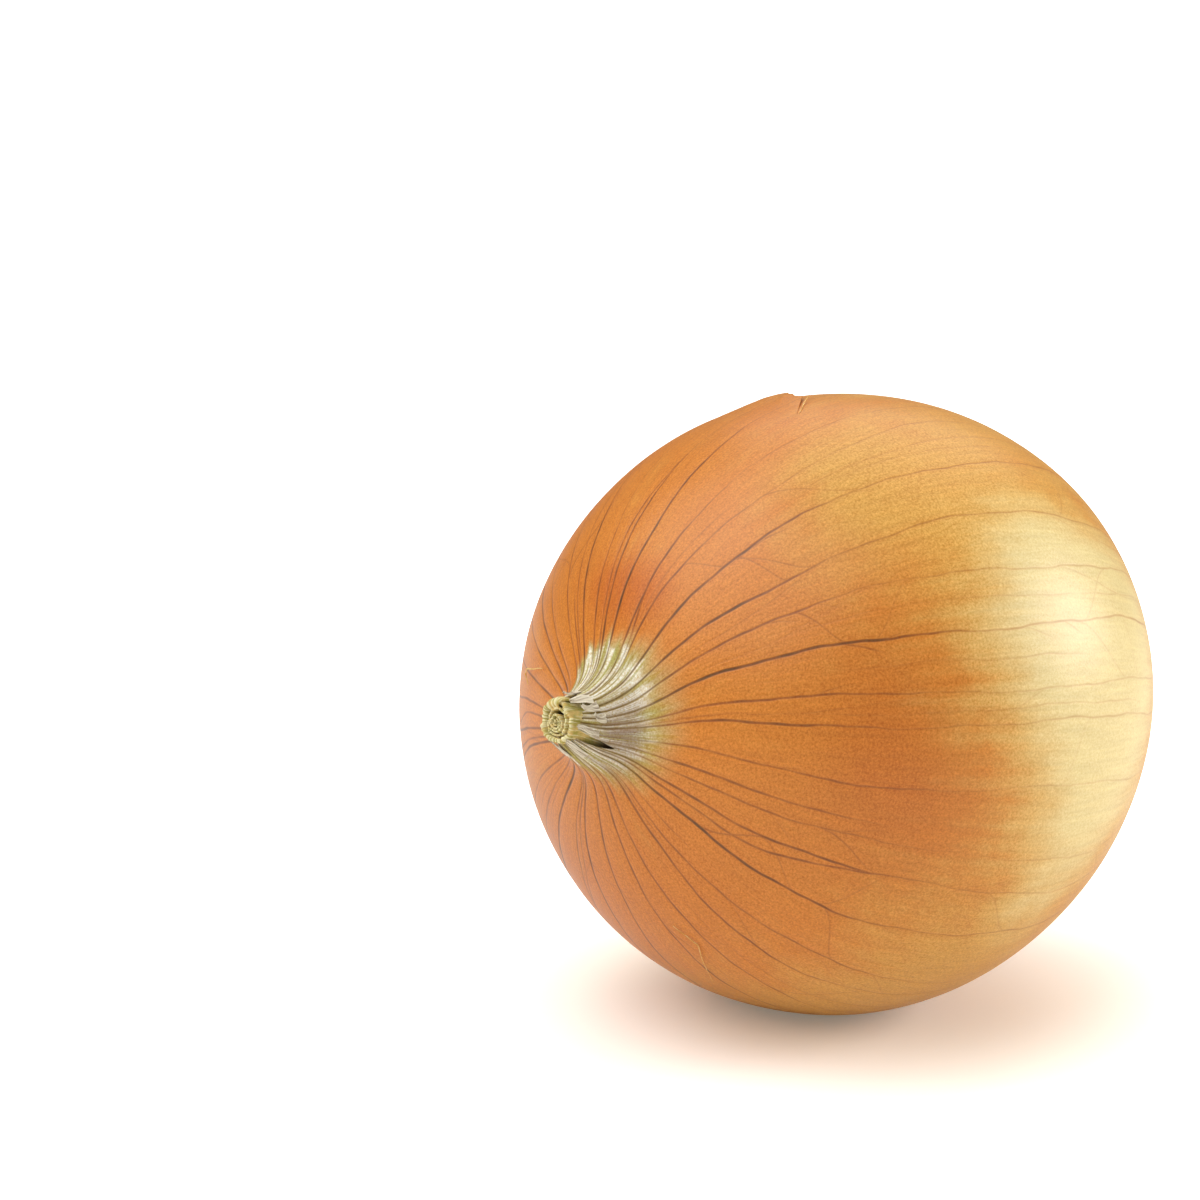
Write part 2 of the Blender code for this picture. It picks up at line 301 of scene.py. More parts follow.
# %% Measure how far each place is from each vein
def vein_distances(polar, around, from_axis):
    """The sideways distance in mm from each place to each vein, and the vein's strength there."""
    distances = np.empty((len(polar), len(veins)), dtype=np.float32)
    strengths = np.empty_like(distances)
    for column, (path, strength) in enumerate(veins):
        slope = np.gradient(path, polar_stops)
        sideways = turned_angle(around - np.interp(polar, polar_stops, path)) * from_axis
        slant = np.interp(polar, polar_stops, slope) * np.sin(polar)
        distances[:, column] = sideways / np.sqrt(1.0 + slant**2)
        strengths[:, column] = np.interp(polar, polar_stops, strength)
    return distances, strengths


# %% [markdown]
# ## The rim of the collar
# The neck was cut across when the onion was topped, and the papery collar has torn since. It
# still reaches the cut end on the low side. In front and above it has torn back, and one pleat
# has split. A few pairs of numbers, the angle round the neck and the rim's height there, are
# the plainest way to say this. Small waves make the edge ragged.

# %% How high the collar stands, all the way round
RIM_STOPS = (
    (-180, 46.3), (-150, 46.3), (-124, 46.1), (-117, 44.3), (-109, 41.9), (-101, 44.1),
    (-95, 45.3), (-78, 45.4), (-60, 45.0), (-46, 44.2), (-28, 43.8), (-5, 44.2),
    (20, 44.8), (60, 45.2), (110, 45.7), (180, 46.3),
)
RAGGED_WAVES = ((9, 0.16), (17, 0.12), (31, 0.10), (53, 0.06))
RIM_SEED = 5

RIM_ANGLES, RIM_HEIGHTS = zip(*RIM_STOPS)
rim_draw = random.Random(RIM_SEED)
ragged_phases = [rim_draw.uniform(0, math.tau) for _ in RAGGED_WAVES]
profile_polars = np.linspace(math.radians(2.5), math.radians(60), 4000)
profile_heights = skin_distance(profile_polars) * np.cos(profile_polars)


def ragged(around):
    """The small ups and downs of a torn paper edge, in mm."""
    waves = zip(RAGGED_WAVES, ragged_phases)
    return sum(size * np.sin(count * around + phase) for (count, size), phase in waves)


def rim_polar(around):
    """The angle from the neck's axis at which the skin ends, from the height of its rim."""
    height = np.interp(np.degrees(around), RIM_ANGLES, RIM_HEIGHTS) + ragged(around)
    return np.interp(-height, -profile_heights, profile_polars)


print("the rim is", rim_polar(np.array([0.0, math.pi])), "radians from the axis, up and down")

# %% [markdown]
# ## The tunic's mesh
# A UV sphere already has its poles where an onion has them, and its rings and segments run the
# way that the skin does. So the tunic starts as one, very finely divided, and each ring gets a
# place on the real form: first the floor under the collar, then the collar's inner wall, then
# the rim, the whole outside down to the root end, and the shallow seat of the root plate.
# Subdivision would be lighter, but only real vertices can carry veins this thin.

# %% Add the sphere and read its rings
SEGMENTS = 336
RINGS = 284
CAVITY_ROWS = 9
ROOT_ROWS = 7

bpy.ops.object.select_all(action="DESELECT")
bpy.ops.mesh.primitive_uv_sphere_add(segments=SEGMENTS, ring_count=RINGS, radius=1.0)
tunic = keep_as("onion_tunic")
places = np.empty(len(tunic.data.vertices) * 3)
tunic.data.vertices.foreach_get("co", places)
places = places.reshape(-1, 3)
ring = np.rint(np.arccos(np.clip(places[:, 2], -1, 1)) / math.pi * RINGS)
around = np.arctan2(places[:, 1], places[:, 0])
print(len(places), "vertices in", RINGS, "rings of", SEGMENTS)

# %% [markdown]
# Rings crowd round the neck, where the pleats are narrow, and spread over the rest. Even rings
# would waste their faces on the plain belly of the bulb.

# %% Give every ring its angle from the neck
SEAT_RAGGED = math.radians(1.0)
CAVITY_POLAR = math.radians(9.6)
SEAT_RADIUS = 7.8
SEAT_DEPTH = 1.2
SEAT_POLAR = math.pi - math.asin(SEAT_RADIUS / (BULB_RADIUS - BASE_FLATTENING))
FIRST_SPACING = 0.22
CROWDING = 1.7

rim = rim_polar(around)
last_ring = RINGS - ROOT_ROWS
down = np.clip((ring - CAVITY_ROWS - 1) / (last_ring - CAVITY_ROWS - 1), 0, 1)
crowded = FIRST_SPACING * down + (1 - FIRST_SPACING) * down**CROWDING
seat_edge = SEAT_POLAR - SEAT_RAGGED * (0.4 + ragged(around))
outside = rim + (seat_edge - rim) * crowded
up = np.clip((ring - 2) / (CAVITY_ROWS - 2), 0, 1)
inside = CAVITY_POLAR + (rim - CAVITY_POLAR) * up
in_cavity = ring <= CAVITY_ROWS
in_seat = ring > last_ring
polar = np.where(in_cavity, inside, outside)

# %% [markdown]
# ## Pleats and hollows
# The drying skin shrinks across its width, and the stiff veins don't. Near the neck it folds
# into pleats, with a groove along each vein. Farther out only a faint groove is left. Each
# groove is the sum of small dents, one for each vein, as wide as the veins are apart there.
# Slow waves over the whole bulb keep its highlight from looking like a billiard ball's.

# %% Work out the relief of the skin
GROOVE_DEPTH = 0.20
GROOVE_FADE = 5.5
FAINT_GROOVE = 0.016
GROOVE_SHARE = 0.30
GROOVE_START = math.radians(4)
NARROWEST_GROOVE = 0.03
DEEPEST_DENT = 1.2
VEINS_NEAR_NECK = 54
SLOW_WAVES = ((3, 2.1, 0.10), (5, 3.4, 0.07), (8, 2.6, 0.045), (13, 5.0, 0.022))
SKIN_THICKNESS = 0.16
CURL_OUT = 0.20
CURL_HEIGHTS = (43.0, 44.6)
HUG_IN = 0.45
HUG_HEIGHTS = (44.8, 46.0)
CURL_REACH = math.radians(1.2)
SKIN_SEED = 8

skin_draw = random.Random(SKIN_SEED)
slow_phases = [(skin_draw.uniform(0, math.tau), skin_draw.uniform(0, math.tau)) for _ in SLOW_WAVES]


def slow_waves(polar, around):
    """Broad, very low swells of the bulb, in mm."""
    height = np.zeros_like(polar)
    for (round_count, long_count, size), (first, second) in zip(SLOW_WAVES, slow_phases):
        height += size * np.sin(round_count * around + first) * np.sin(long_count * polar + second)
    return height * np.sin(polar) ** 2


from_axis = skin_distance(polar) * np.sin(polar)
distances, strengths = vein_distances(polar, around, from_axis)
past_rim = BULB_RADIUS * (polar - GROOVE_START)
groove = GROOVE_DEPTH * np.exp(-np.maximum(past_rim, 0) / GROOVE_FADE) + FAINT_GROOVE
groove_width = GROOVE_SHARE * math.tau * from_axis / VEINS_NEAR_NECK + NARROWEST_GROOVE
gathering = distances[:, :gathered_veins] / groove_width[:, None]
dents = (strengths[:, :gathered_veins] * np.exp(-(gathering**2))).sum(axis=1)
relief = slow_waves(polar, around) - groove * np.minimum(dents, DEEPEST_DENT)
rim_heights = np.interp(np.degrees(around), RIM_ANGLES, RIM_HEIGHTS)
by_rim = np.exp(-(polar - rim) / CURL_REACH) * ~in_seat
relief += CURL_OUT * (1 - smooth_step(*CURL_HEIGHTS, rim_heights)) * by_rim
relief -= HUG_IN * smooth_step(*HUG_HEIGHTS, rim_heights) * by_rim
relief -= SKIN_THICKNESS * in_cavity
print("relief from", relief.min(), "to", relief.max(), "mm")

# %% [markdown]
# Each vertex goes out from the profile along its normal, as far as the relief says. The spot
# under the bulb is pressed flat by a smooth formula, because a cut would leave a sharp edge.

# %% Move the vertices onto the onion
STEP = 1e-4
SETTLE = 0.25
TUNIC_SMOOTH = math.radians(60)
SHEET_SMOOTH = math.radians(50)


def surface_places(polar, around, height):
    """Places on the skin, or a height in mm above it, along the profile's own normal."""
    ahead = skin_distance(polar + STEP)
    here = skin_distance(polar)
    run = ahead * np.sin(polar + STEP) - here * np.sin(polar)
    fall = here * np.cos(polar) - ahead * np.cos(polar + STEP)
    length = np.hypot(run, fall)
    scale = lopsided_scale(polar, around)
    radius = scale * (here * np.sin(polar) + height * fall / length)
    level = scale * (here * np.cos(polar) + height * run / length)
    return np.stack([radius * np.cos(around), radius * np.sin(around), level], axis=-1)


def settle_on_table(upright):
    """Presses the lowest patch of an upright model flat, where the lying onion rests."""
    lying = upright @ np.array(TURN.to_3x3()).T * MM + np.array(BULB_CENTRE)
    height = lying[:, 2] / MM
    lying[:, 2] = (height + np.sqrt(height**2 + SETTLE**2)) / 2 * MM
    back = (lying - np.array(BULB_CENTRE)) / MM
    return back @ np.array(TURN.to_3x3())


upright = surface_places(polar, around, relief)
floor_share = np.clip(ring / 2, 0, 1)
floor_rows = ring < 2
upright[floor_rows, :2] *= floor_share[floor_rows, None]
seat_share = (RINGS - ring) / (ROOT_ROWS - 1)
seat_level = skin_distance(SEAT_POLAR) * math.cos(SEAT_POLAR)
seat_radius = SEAT_RADIUS * np.minimum(seat_share, 1.0)
upright[in_seat, 0] = (seat_radius * np.cos(around))[in_seat]
upright[in_seat, 1] = (seat_radius * np.sin(around))[in_seat]
upright[in_seat, 2] = seat_level + SEAT_DEPTH
tunic.data.vertices.foreach_set("co", settle_on_table(lean(upright)).ravel())
tunic.data.update()
lay_down(tunic)
bpy.ops.object.shade_smooth_by_angle(angle=TUNIC_SMOOTH)
print("the tunic has", sum(len(face.vertices) - 2 for face in tunic.data.polygons), "triangles")

# %% [markdown]
# ## Writing the veins onto the mesh
# A line thinner than a face can't be painted on vertices, but a distance can: it changes evenly
# across a face, so the shader can draw a crisp line wherever the distance is near zero. Each
# face stores the sideways distance to the three veins nearest to it, at each of its corners,
# and how strong those veins are there.


# %% Store values on a mesh
def store(mesh, name, kind, domain, values):
    """Writes one named attribute, which a material can read."""
    field = {"FLOAT": "value", "FLOAT_VECTOR": "vector"}[kind]
    layer = mesh.attributes.new(name, kind, domain)
    layer.data.foreach_set(field, np.ascontiguousarray(values, dtype=np.float32).ravel())


def face_corners(mesh):
    """For each corner of a mesh, the vertex that it is at and the face that it belongs to."""
    corner_vertex = np.empty(len(mesh.loops), dtype=np.int32)
    mesh.loops.foreach_get("vertex_index", corner_vertex)
    sizes = np.empty(len(mesh.polygons), dtype=np.int32)
    mesh.polygons.foreach_get("loop_total", sizes)
    return corner_vertex, np.repeat(np.arange(len(sizes)), sizes), sizes


# %% [markdown]
# Three veins are enough, since no more than that come near one face. All corners of a face store
# the same three, or the line would jump inside it.

# %% Write the three nearest veins to each corner
NEAREST = 3
TOO_WEAK = 0.02
OUT_OF_REACH = 9.0


def write_veins(mesh, distances, strengths):
    """Stores the distances to the nearest veins, and their strengths, as two corner vectors."""
    corner_vertex, corner_face, sizes = face_corners(mesh)
    starts = np.concatenate([[0], np.cumsum(sizes)[:-1]])
    missing = np.abs(distances) + OUT_OF_REACH * (strengths < TOO_WEAK)
    missing_at_face = np.add.reduceat(missing[corner_vertex], starts, axis=0)
    nearest = np.argpartition(missing_at_face, NEAREST, axis=1)[:, :NEAREST]
    picked = nearest[corner_face]
    store(mesh, "vein_mm", "FLOAT_VECTOR", "CORNER", distances[corner_vertex[:, None], picked])
    store(mesh, "vein_strength", "FLOAT_VECTOR", "CORNER", strengths[corner_vertex[:, None], picked])


write_veins(tunic.data, distances, strengths)
print("each face has its", NEAREST, "nearest of", len(veins), "veins")

# %% [markdown]
# ## The pale fan and the golden patches
# Where the tunic leaves the neck, the pigment never reached the paper: a pale fan, greenish and grey in
# places, with a sharp edge on one side. The rest is orange by the neck and more golden by the roots, in
# soft patches. Some patches are also painted light and shade. The pale patches are paler skin and partly
# a painted highlight where the right light reflects. One golden patch under the bulb is painted light
# thrown up from the table. Three deep orange patches in the middle are partly painted shade where the
# bulb faces the camera. Noise alone would put these anywhere. So the fan's reach is a few pairs of
# numbers round the neck, and each patch has a place and a size.

# %% Where the skin is pale, grey, golden or deep orange
FAN_ANGLES = (-180, -160, -140, -120, -90, -45, -10, 20, 38, 46, 60, 110, 150, 180)
FAN_REACHES = (5.0, 6.2, 7.8, 9.6, 11.2, 11.4, 10.4, 9.2, 8.3, 5.2, 3.6, 3.6, 4.2, 5.0)
FAN_TONGUES = ((19, 0.35), (37, 0.30), (67, 0.16))
FAN_EDGE_ANGLES = (-180, -120, -60, -10, 20, 180)
FAN_EDGE_SOFTNESS = (1.5, 4.2, 4.4, 1.6, 0.7, 0.8)
FAN_END = (1.0, 1.2)
GREY_MIDDLE = -84
GREY_BREADTH = 46
GREY_FROM = (3.4, 5.0)
GREY_TO = (6.5, 9.5)
ROOTWARD_GOLD = 0.42
ROOTWARD_FROM = math.radians(45)
ROOTWARD_TO = math.radians(120)
GOLD_AND_BOUNCE_PATCHES = (
    (78, -40, 24, 0.8),
    (62, -28, 14, 0.5),
    (100, -80, 24, 0.6),
    (84, -135, 22, 0.7),
    # Painted light: this patch lightens the underside by the table, in place of light thrown up from it.
    (74, -166, 20, 0.7),
    (120, 10, 34, 0.5),
    (112, 110, 36, 0.6),
    (70, 130, 24, 0.5),
    (140, -120, 34, 0.5),
)
# Paler skin, and partly a painted highlight: the strongest patches sit where the right light's
# reflection falls.
PALE_AND_HIGHLIGHT_PATCHES = (
    (97, -64, 18, 1.0),
    (106, -80, 19, 0.9),
    (100, -99, 15, 0.6),
    (94, -118, 14, 0.45),
    (88, -47, 13, 0.3),
    (78, -74, 20, 0.25),
    (118, -60, 16, 0.4),
    (96, 60, 18, 0.7),
    (104, 150, 16, 0.6),
)
DEEP_AND_SHADED_PATCHES = (
    (22, 8, 7, 0.9),
    (24, -16, 7, 0.7),
    (26, 34, 8, 0.3),
    # These three, in the middle where the bulb faces the camera, are deeper orange and partly painted
    # shade.
    (55, -72, 13, 0.35),
    (54, -93, 14, 0.5),
    (68, -101, 16, 0.35),
    (45, 150, 24, 0.6),
    (60, 60, 30, 0.5),
    (30, -140, 22, 0.4),
    (150, 40, 26, 0.6),
    (146, -60, 22, 0.5),
)


def patches(polar, around, spots):
    """The sum of soft round patches. A spot is its two angles, its size in degrees, its weight."""
    total = np.zeros_like(polar)
    for spot_polar, spot_around, size, weight in spots:
        one = math.radians(spot_polar)
        other = turned_angle(around - math.radians(spot_around))
        near = np.cos(polar) * math.cos(one) + np.sin(polar) * math.sin(one) * np.cos(other)
        angle = np.degrees(np.arccos(np.clip(near, -1, 1)))
        total += weight * np.exp(-((angle / size) ** 2))
    return np.clip(total, 0, 1)


def fan_cover(polar, around):
    """How pale the skin is: 1 in the fan round the neck, 0 outside it."""
    degrees = np.degrees(around)
    reach = np.interp(degrees, FAN_ANGLES, FAN_REACHES)
    for count, size in FAN_TONGUES:
        reach = reach + size * np.sin(count * around + count)
    soft = np.interp(degrees, FAN_EDGE_ANGLES, FAN_EDGE_SOFTNESS)
    on_neck_side = 1 - smooth_step(*FAN_END, polar)
    return smooth_step(-soft, soft, reach - skin_distance(polar) * np.sin(polar)) * on_neck_side


def fan_grey(polar, around):
    """The greyish violet streaks in the fan's middle, on the side that faces the camera."""
    degrees = np.degrees(around)
    middle = np.exp(-(((degrees - GREY_MIDDLE) / GREY_BREADTH) ** 2))
    from_axis = skin_distance(polar) * np.sin(polar)
    return middle * smooth_step(*GREY_FROM, from_axis) * (1 - smooth_step(*GREY_TO, from_axis))


def write_colours(mesh, polar, around):
    """Stores what the skin's material reads: the colour zones, and coordinates along the grain."""
    grain = np.stack([np.cos(around), np.sin(around), polar], axis=-1) * BULB_RADIUS
    rootward = ROOTWARD_GOLD * smooth_step(ROOTWARD_FROM, ROOTWARD_TO, polar)
    gold = np.clip(rootward + patches(polar, around, GOLD_AND_BOUNCE_PATCHES), 0, 1)
    store(mesh, "grain_mm", "FLOAT_VECTOR", "POINT", grain)
    store(mesh, "fan", "FLOAT", "POINT", fan_cover(polar, around))
    store(mesh, "fan_grey", "FLOAT", "POINT", fan_grey(polar, around))
    store(mesh, "gold", "FLOAT", "POINT", gold)
    store(mesh, "pale", "FLOAT", "POINT", patches(polar, around, PALE_AND_HIGHLIGHT_PATCHES))
    store(mesh, "deep", "FLOAT", "POINT", patches(polar, around, DEEP_AND_SHADED_PATCHES))


write_colours(tunic.data, polar, around)
print("attributes on the tunic", [layer.name for layer in tunic.data.attributes])

# %% [markdown]
# ## Helpers for materials
# Every material below is a node tree that is built in code. One small function adds a node,
# sets it up and links it, so that a tree reads from top to bottom like a recipe. Most steps of
# such a recipe lay one more stain over the colour so far, so that pair of nodes has a function
# too. Colours are written as sRGB hex values, the way that a colour picker shows them, and one
# function turns them to the linear values that a renderer adds and multiplies.


# %% Define the helpers for materials
def linear(hex_colour):
    """An sRGB hex colour as linear red, green, blue and alpha."""
    channels = [int(hex_colour[i : i + 2], 16) / 255 for i in (1, 3, 5)]
    bent = [((c + 0.055) / 1.055) ** 2.4 if c > 0.04045 else c / 12.92 for c in channels]
    return (*bent, 1.0)


def add_node(tree, kind, inputs=None, **settings):
    """Adds a node. An input is a node or a socket, which is linked, or a value or hex colour."""
    node = tree.nodes.new("ShaderNode" + kind)
    for name, value in settings.items():
        setattr(node, name, value)
    for key, value in (inputs or {}).items():
        if isinstance(value, bpy.types.Node):
            value = value.outputs[0]
        if isinstance(value, bpy.types.NodeSocket):
            tree.links.new(value, node.inputs[key])
        else:
            node.inputs[key].default_value = linear(value) if isinstance(value, str) else value
    return node


def stained(tree, colour, value, stain, low=0.0, high=1.0, most=1.0, change="SMOOTHSTEP"):
    """Covers a colour with a stain, more and more as a value rises from low to high."""
    limits = {"Value": value, "From Min": low, "From Max": high, "To Max": most}
    share = add_node(tree, "MapRange", limits, interpolation_type=change)
    layers = {0: share, 6: colour, 7: stain}
    return add_node(tree, "Mix", layers, data_type="RGBA").outputs[2]


def new_material(name):
    """An empty material with a Principled BSDF. Returns the material, its tree and the shader."""
    material = bpy.data.materials.new(name)
    material.use_nodes = True
    return material, material.node_tree, material.node_tree.nodes["Principled BSDF"]


def finish_surface(tree, shader, colour, roughness, height, strength, depth_mm):
    """Gives a shader its colour, its roughness, and a fine relief of a depth in mm."""
    tree.links.new(colour, shader.inputs["Base Color"])
    shader.inputs["Roughness"].default_value = roughness
    bump = add_node(tree, "Bump", {"Height": height, "Strength": strength, "Distance": depth_mm * MM})
    tree.links.new(bump.outputs[0], shader.inputs["Normal"])


print("white is", linear("#FFFFFF"), "and a middle grey is", linear("#808080"))

# %% [markdown]
# ## The tunic's material
# The tunic is a few layers of dead cells, dried to a thin film. It gives the eye a satin sheen, a grain
# that runs from neck to root, fine speckles where the cells trap air, whose light ones are also painted
# glints, and veins in brown. Pigment makes it orange to golden, and a few of its patches are painted
# light and shade as well. It is thin, but what lies under it is the same colour, so it needs no light to
# pass through it.

# %% Read the tunic's coordinates and lay out its grain
STREAK_MM = 2.4
FIBRE_MM = 0.55
SPECKLE_MM = 0.27
BLOTCH_MM = 9.0
DRAWN_OUT = (1, 1, 0.09)

skin_material, tree, shader = new_material("dry onion tunic, satin papery skin")
here = add_node(tree, "TexCoord").outputs["Object"]
grain = add_node(tree, "Attribute", attribute_name="grain_mm").outputs["Vector"]
drawn_out = add_node(tree, "Mapping", {"Vector": grain, "Scale": DRAWN_OUT})
streaks = add_node(tree, "TexNoise", {"Vector": drawn_out, "Scale": 1 / STREAK_MM, "Detail": 3})
fibres = add_node(tree, "TexNoise", {"Vector": drawn_out, "Scale": 1 / FIBRE_MM, "Detail": 2})
speckle_inputs = {"Vector": here, "Scale": 1 / (SPECKLE_MM * MM), "Detail": 2, "Roughness": 0.7}
speckles = add_node(tree, "TexNoise", speckle_inputs)
blotch_inputs = {"Vector": here, "Scale": 1 / (BLOTCH_MM * MM), "Detail": 4, "Roughness": 0.6}
blotches = add_node(tree, "TexNoise", blotch_inputs)
zones = {}
for name in ("gold", "pale", "deep", "fan", "fan_grey"):
    zones[name] = add_node(tree, "Attribute", attribute_name=name).outputs["Fac"]
print("zones that the material reads", list(zones))

# %% [markdown]
# Golden and pale skin has less pigment, and deep orange skin has more. The pale zone is also partly a
# painted highlight, the golden patch under the bulb is painted light from the table, and the deep orange
# in the middle is partly painted shade. The zones written on the mesh say roughly where each is, and the
# blotches and streaks break up their borders. A pale zone turns golden first, because a straight mix of
# orange and cream would look pinkish.

# %% Mix the orange, the gold and the deep orange
ORANGE = "#D27F2B"
DEEP_ORANGE = "#C4661C"
GOLD = "#D9A04A"
PALE_EDGE = "#DCA545"
PALE_GOLD_AND_HIGHLIGHT = "#EBD697"

# The gold zone includes one patch of painted light from the table, under the bulb.
centred = add_node(tree, "Math", {0: zones["gold"], 1: 0.45}, operation="SUBTRACT")
golden = add_node(tree, "Math", {0: blotches, 1: 0.9, 2: centred}, operation="MULTIPLY_ADD")
golden = add_node(tree, "Math", {0: streaks, 1: 0.5, 2: golden}, operation="MULTIPLY_ADD")
colour = stained(tree, ORANGE, golden, GOLD, low=0.22, high=1.25)

paler_and_highlit = add_node(tree, "Math", {0: blotches, 1: 0.55, 2: zones["pale"]}, operation="MULTIPLY_ADD")
paler_and_highlit = add_node(tree, "Math", {0: streaks, 1: 0.45, 2: paler_and_highlit}, operation="MULTIPLY_ADD")
colour = stained(tree, colour, paler_and_highlit, PALE_EDGE, low=0.55, high=1.05, most=0.85)
# The pale gold is partly a painted highlight where the right light reflects.
pale_and_highlight_range = {"Value": paler_and_highlit, "From Min": 0.60, "From Max": 1.52, "To Max": 0.92}
pale_and_highlight_share = add_node(tree, "MapRange", pale_and_highlight_range, interpolation_type="SMOOTHSTEP")
colour = stained(tree, colour, pale_and_highlight_share, PALE_GOLD_AND_HIGHLIGHT, change="LINEAR")

# The deep orange is partly painted shade in the middle of the bulb.
deeper = add_node(tree, "Math", {0: blotches, 1: 0.5}, operation="ADD")
deeper = add_node(tree, "Math", {0: zones["deep"], 1: deeper}, operation="MULTIPLY")
colour = stained(tree, colour, deeper, DEEP_ORANGE, low=0.1, high=1.2, most=0.9)
print("nodes so far", len(tree.nodes))

# %% [markdown]
# The fan has no pigment, only old cell walls: cream to greenish, with a violet grey bloom. It
# is greener towards its edge, where it turns orange.

# %% Colour the fan round the neck
FAN_CREAM = "#EFE8CF"
FAN_GREEN = "#ACA257"
FAN_VIOLET = "#937F6A"
FAN_PATCH_MM = 3.0

half_drawn = add_node(tree, "Mapping", {"Vector": grain, "Scale": (1, 1, 0.5)})
fan_patch_inputs = {"Vector": half_drawn, "Scale": 1 / FAN_PATCH_MM, "Detail": 3}
fan_patches = add_node(tree, "TexNoise", fan_patch_inputs)
patch_range = {"Value": fan_patches, "From Min": 0.42, "From Max": 0.62}
rim_range = {"Value": zones["fan"], "From Min": 0.98, "From Max": 0.72, "To Max": 0.85}
patch_green = add_node(tree, "MapRange", patch_range, interpolation_type="SMOOTHSTEP")
rim_green = add_node(tree, "MapRange", rim_range, interpolation_type="SMOOTHSTEP")
greener = add_node(tree, "Math", {0: patch_green, 1: rim_green}, operation="MAXIMUM")
paper = stained(tree, FAN_CREAM, greener, FAN_GREEN, change="LINEAR")
violet_range = {"Value": fibres, "From Min": 0.28, "From Max": 0.56}
streaky = add_node(tree, "MapRange", violet_range, interpolation_type="SMOOTHSTEP")
violet = add_node(tree, "Math", {0: zones["fan_grey"], 1: streaky}, operation="MULTIPLY")
paper = stained(tree, paper, violet, FAN_VIOLET, change="LINEAR")
colour = stained(tree, colour, zones["fan"], paper, change="LINEAR")
print("nodes so far", len(tree.nodes))

# %% [markdown]
# A strong vein is a wider line. The line's half width minus the distance to it is above zero
# on the vein, for all three stored veins at once. One soft threshold gives the crisp line, and
# a much softer one gives the reddish stain beside it. In the fan the veins are only olive, and
# on pale skin they are golden.

# %% Draw the veins
VEIN_DARK = "#43341A"
VEIN_RED = "#925020"
VEIN_TAN = "#BC6E2A"
VEIN_GOLDEN = "#BF8136"
VEIN_OLIVE = "#6E5C2C"
VEIN_THIN = 0.08
VEIN_WIDE = 0.22
VEIN_FUZZ = 0.16
VEIN_NARROW = 0.65
VEIN_EDGE = 0.13
VEIN_HALO = 0.75

vein_mm = add_node(tree, "Attribute", attribute_name="vein_mm").outputs["Vector"]
strength = add_node(tree, "Attribute", attribute_name="vein_strength").outputs["Vector"]
away = add_node(tree, "VectorMath", {0: vein_mm}, operation="ABSOLUTE")
width_inputs = {0: strength, 1: (VEIN_WIDE - VEIN_THIN,) * 3, 2: (VEIN_THIN - VEIN_FUZZ / 2,) * 3}
widths = add_node(tree, "VectorMath", width_inputs, operation="MULTIPLY_ADD")
fuzz_inputs = {0: speckles, 1: (VEIN_FUZZ,) * 3, 2: widths}
widths = add_node(tree, "VectorMath", fuzz_inputs, operation="MULTIPLY_ADD")
narrowing = add_node(tree, "MapRange", {"Value": zones["fan"], "To Min": 1.0, "To Max": VEIN_NARROW})
widths = add_node(tree, "VectorMath", {0: widths, "Scale": narrowing}, operation="SCALE")
depth = add_node(tree, "VectorMath", {0: widths, 1: away}, operation="SUBTRACT")
line_settings = {"data_type": "FLOAT_VECTOR", "interpolation_type": "SMOOTHSTEP"}
covers = []
for edge in (VEIN_EDGE, VEIN_HALO):
    edge_inputs = {"Vector": depth, 7: (-edge,) * 3, 8: (edge,) * 3}
    line = add_node(tree, "MapRange", edge_inputs, **line_settings).outputs[1]
    covered = add_node(tree, "VectorMath", {0: line, 1: strength}, operation="MULTIPLY")
    parts = add_node(tree, "SeparateXYZ", {0: covered}).outputs
    two = add_node(tree, "Math", {0: parts[0], 1: parts[1]}, operation="MAXIMUM")
    covers.append(add_node(tree, "Math", {0: two, 1: parts[2]}, operation="MAXIMUM"))
vein, halo = covers

vein_ramp = add_node(tree, "ValToRGB", {0: vein})
ramp_stops = vein_ramp.color_ramp.elements
ramp_stops[0].position = 0.15
ramp_stops[0].color = linear(VEIN_TAN)
ramp_stops[1].position = 0.95
ramp_stops[1].color = linear(VEIN_DARK)
ramp_stops.new(0.58).color = linear(VEIN_RED)
ink = stained(tree, vein_ramp, zones["fan"], VEIN_OLIVE, low=0.45, most=0.85, change="LINEAR")
ink = stained(tree, ink, pale_and_highlight_share, VEIN_GOLDEN, high=0.6, most=0.8, change="LINEAR")
colour = stained(tree, colour, halo, DEEP_ORANGE, high=2.0, most=0.56, change="LINEAR")
colour = stained(tree, colour, vein, ink, low=0.03, high=0.80, most=0.86)
print("nodes so far", len(tree.nodes))

# %% [markdown]
# Some of the dead cells hold air. A speckle with air in it is lighter and less orange, and one without
# is a deeper orange. The light speckles are whiter still, because they are also painted glints of the
# cells. So each channel of the colour gets its own contrast, and pale skin gets less of it. Fibres add
# fainter stripes along the grain.

# %% Lighten and darken the fine grain
# Blue gets the most contrast, so the light speckles turn whitish: painted glints as well as air in the
# cells.
SPECKLE_AND_GLINT_CONTRAST = (0.9, 1.5, 2.7)
PALE_CONTRAST = (0.35, 0.5, 1.0)
FIBRE_CONTRAST = (0.26, 0.32, 0.40)

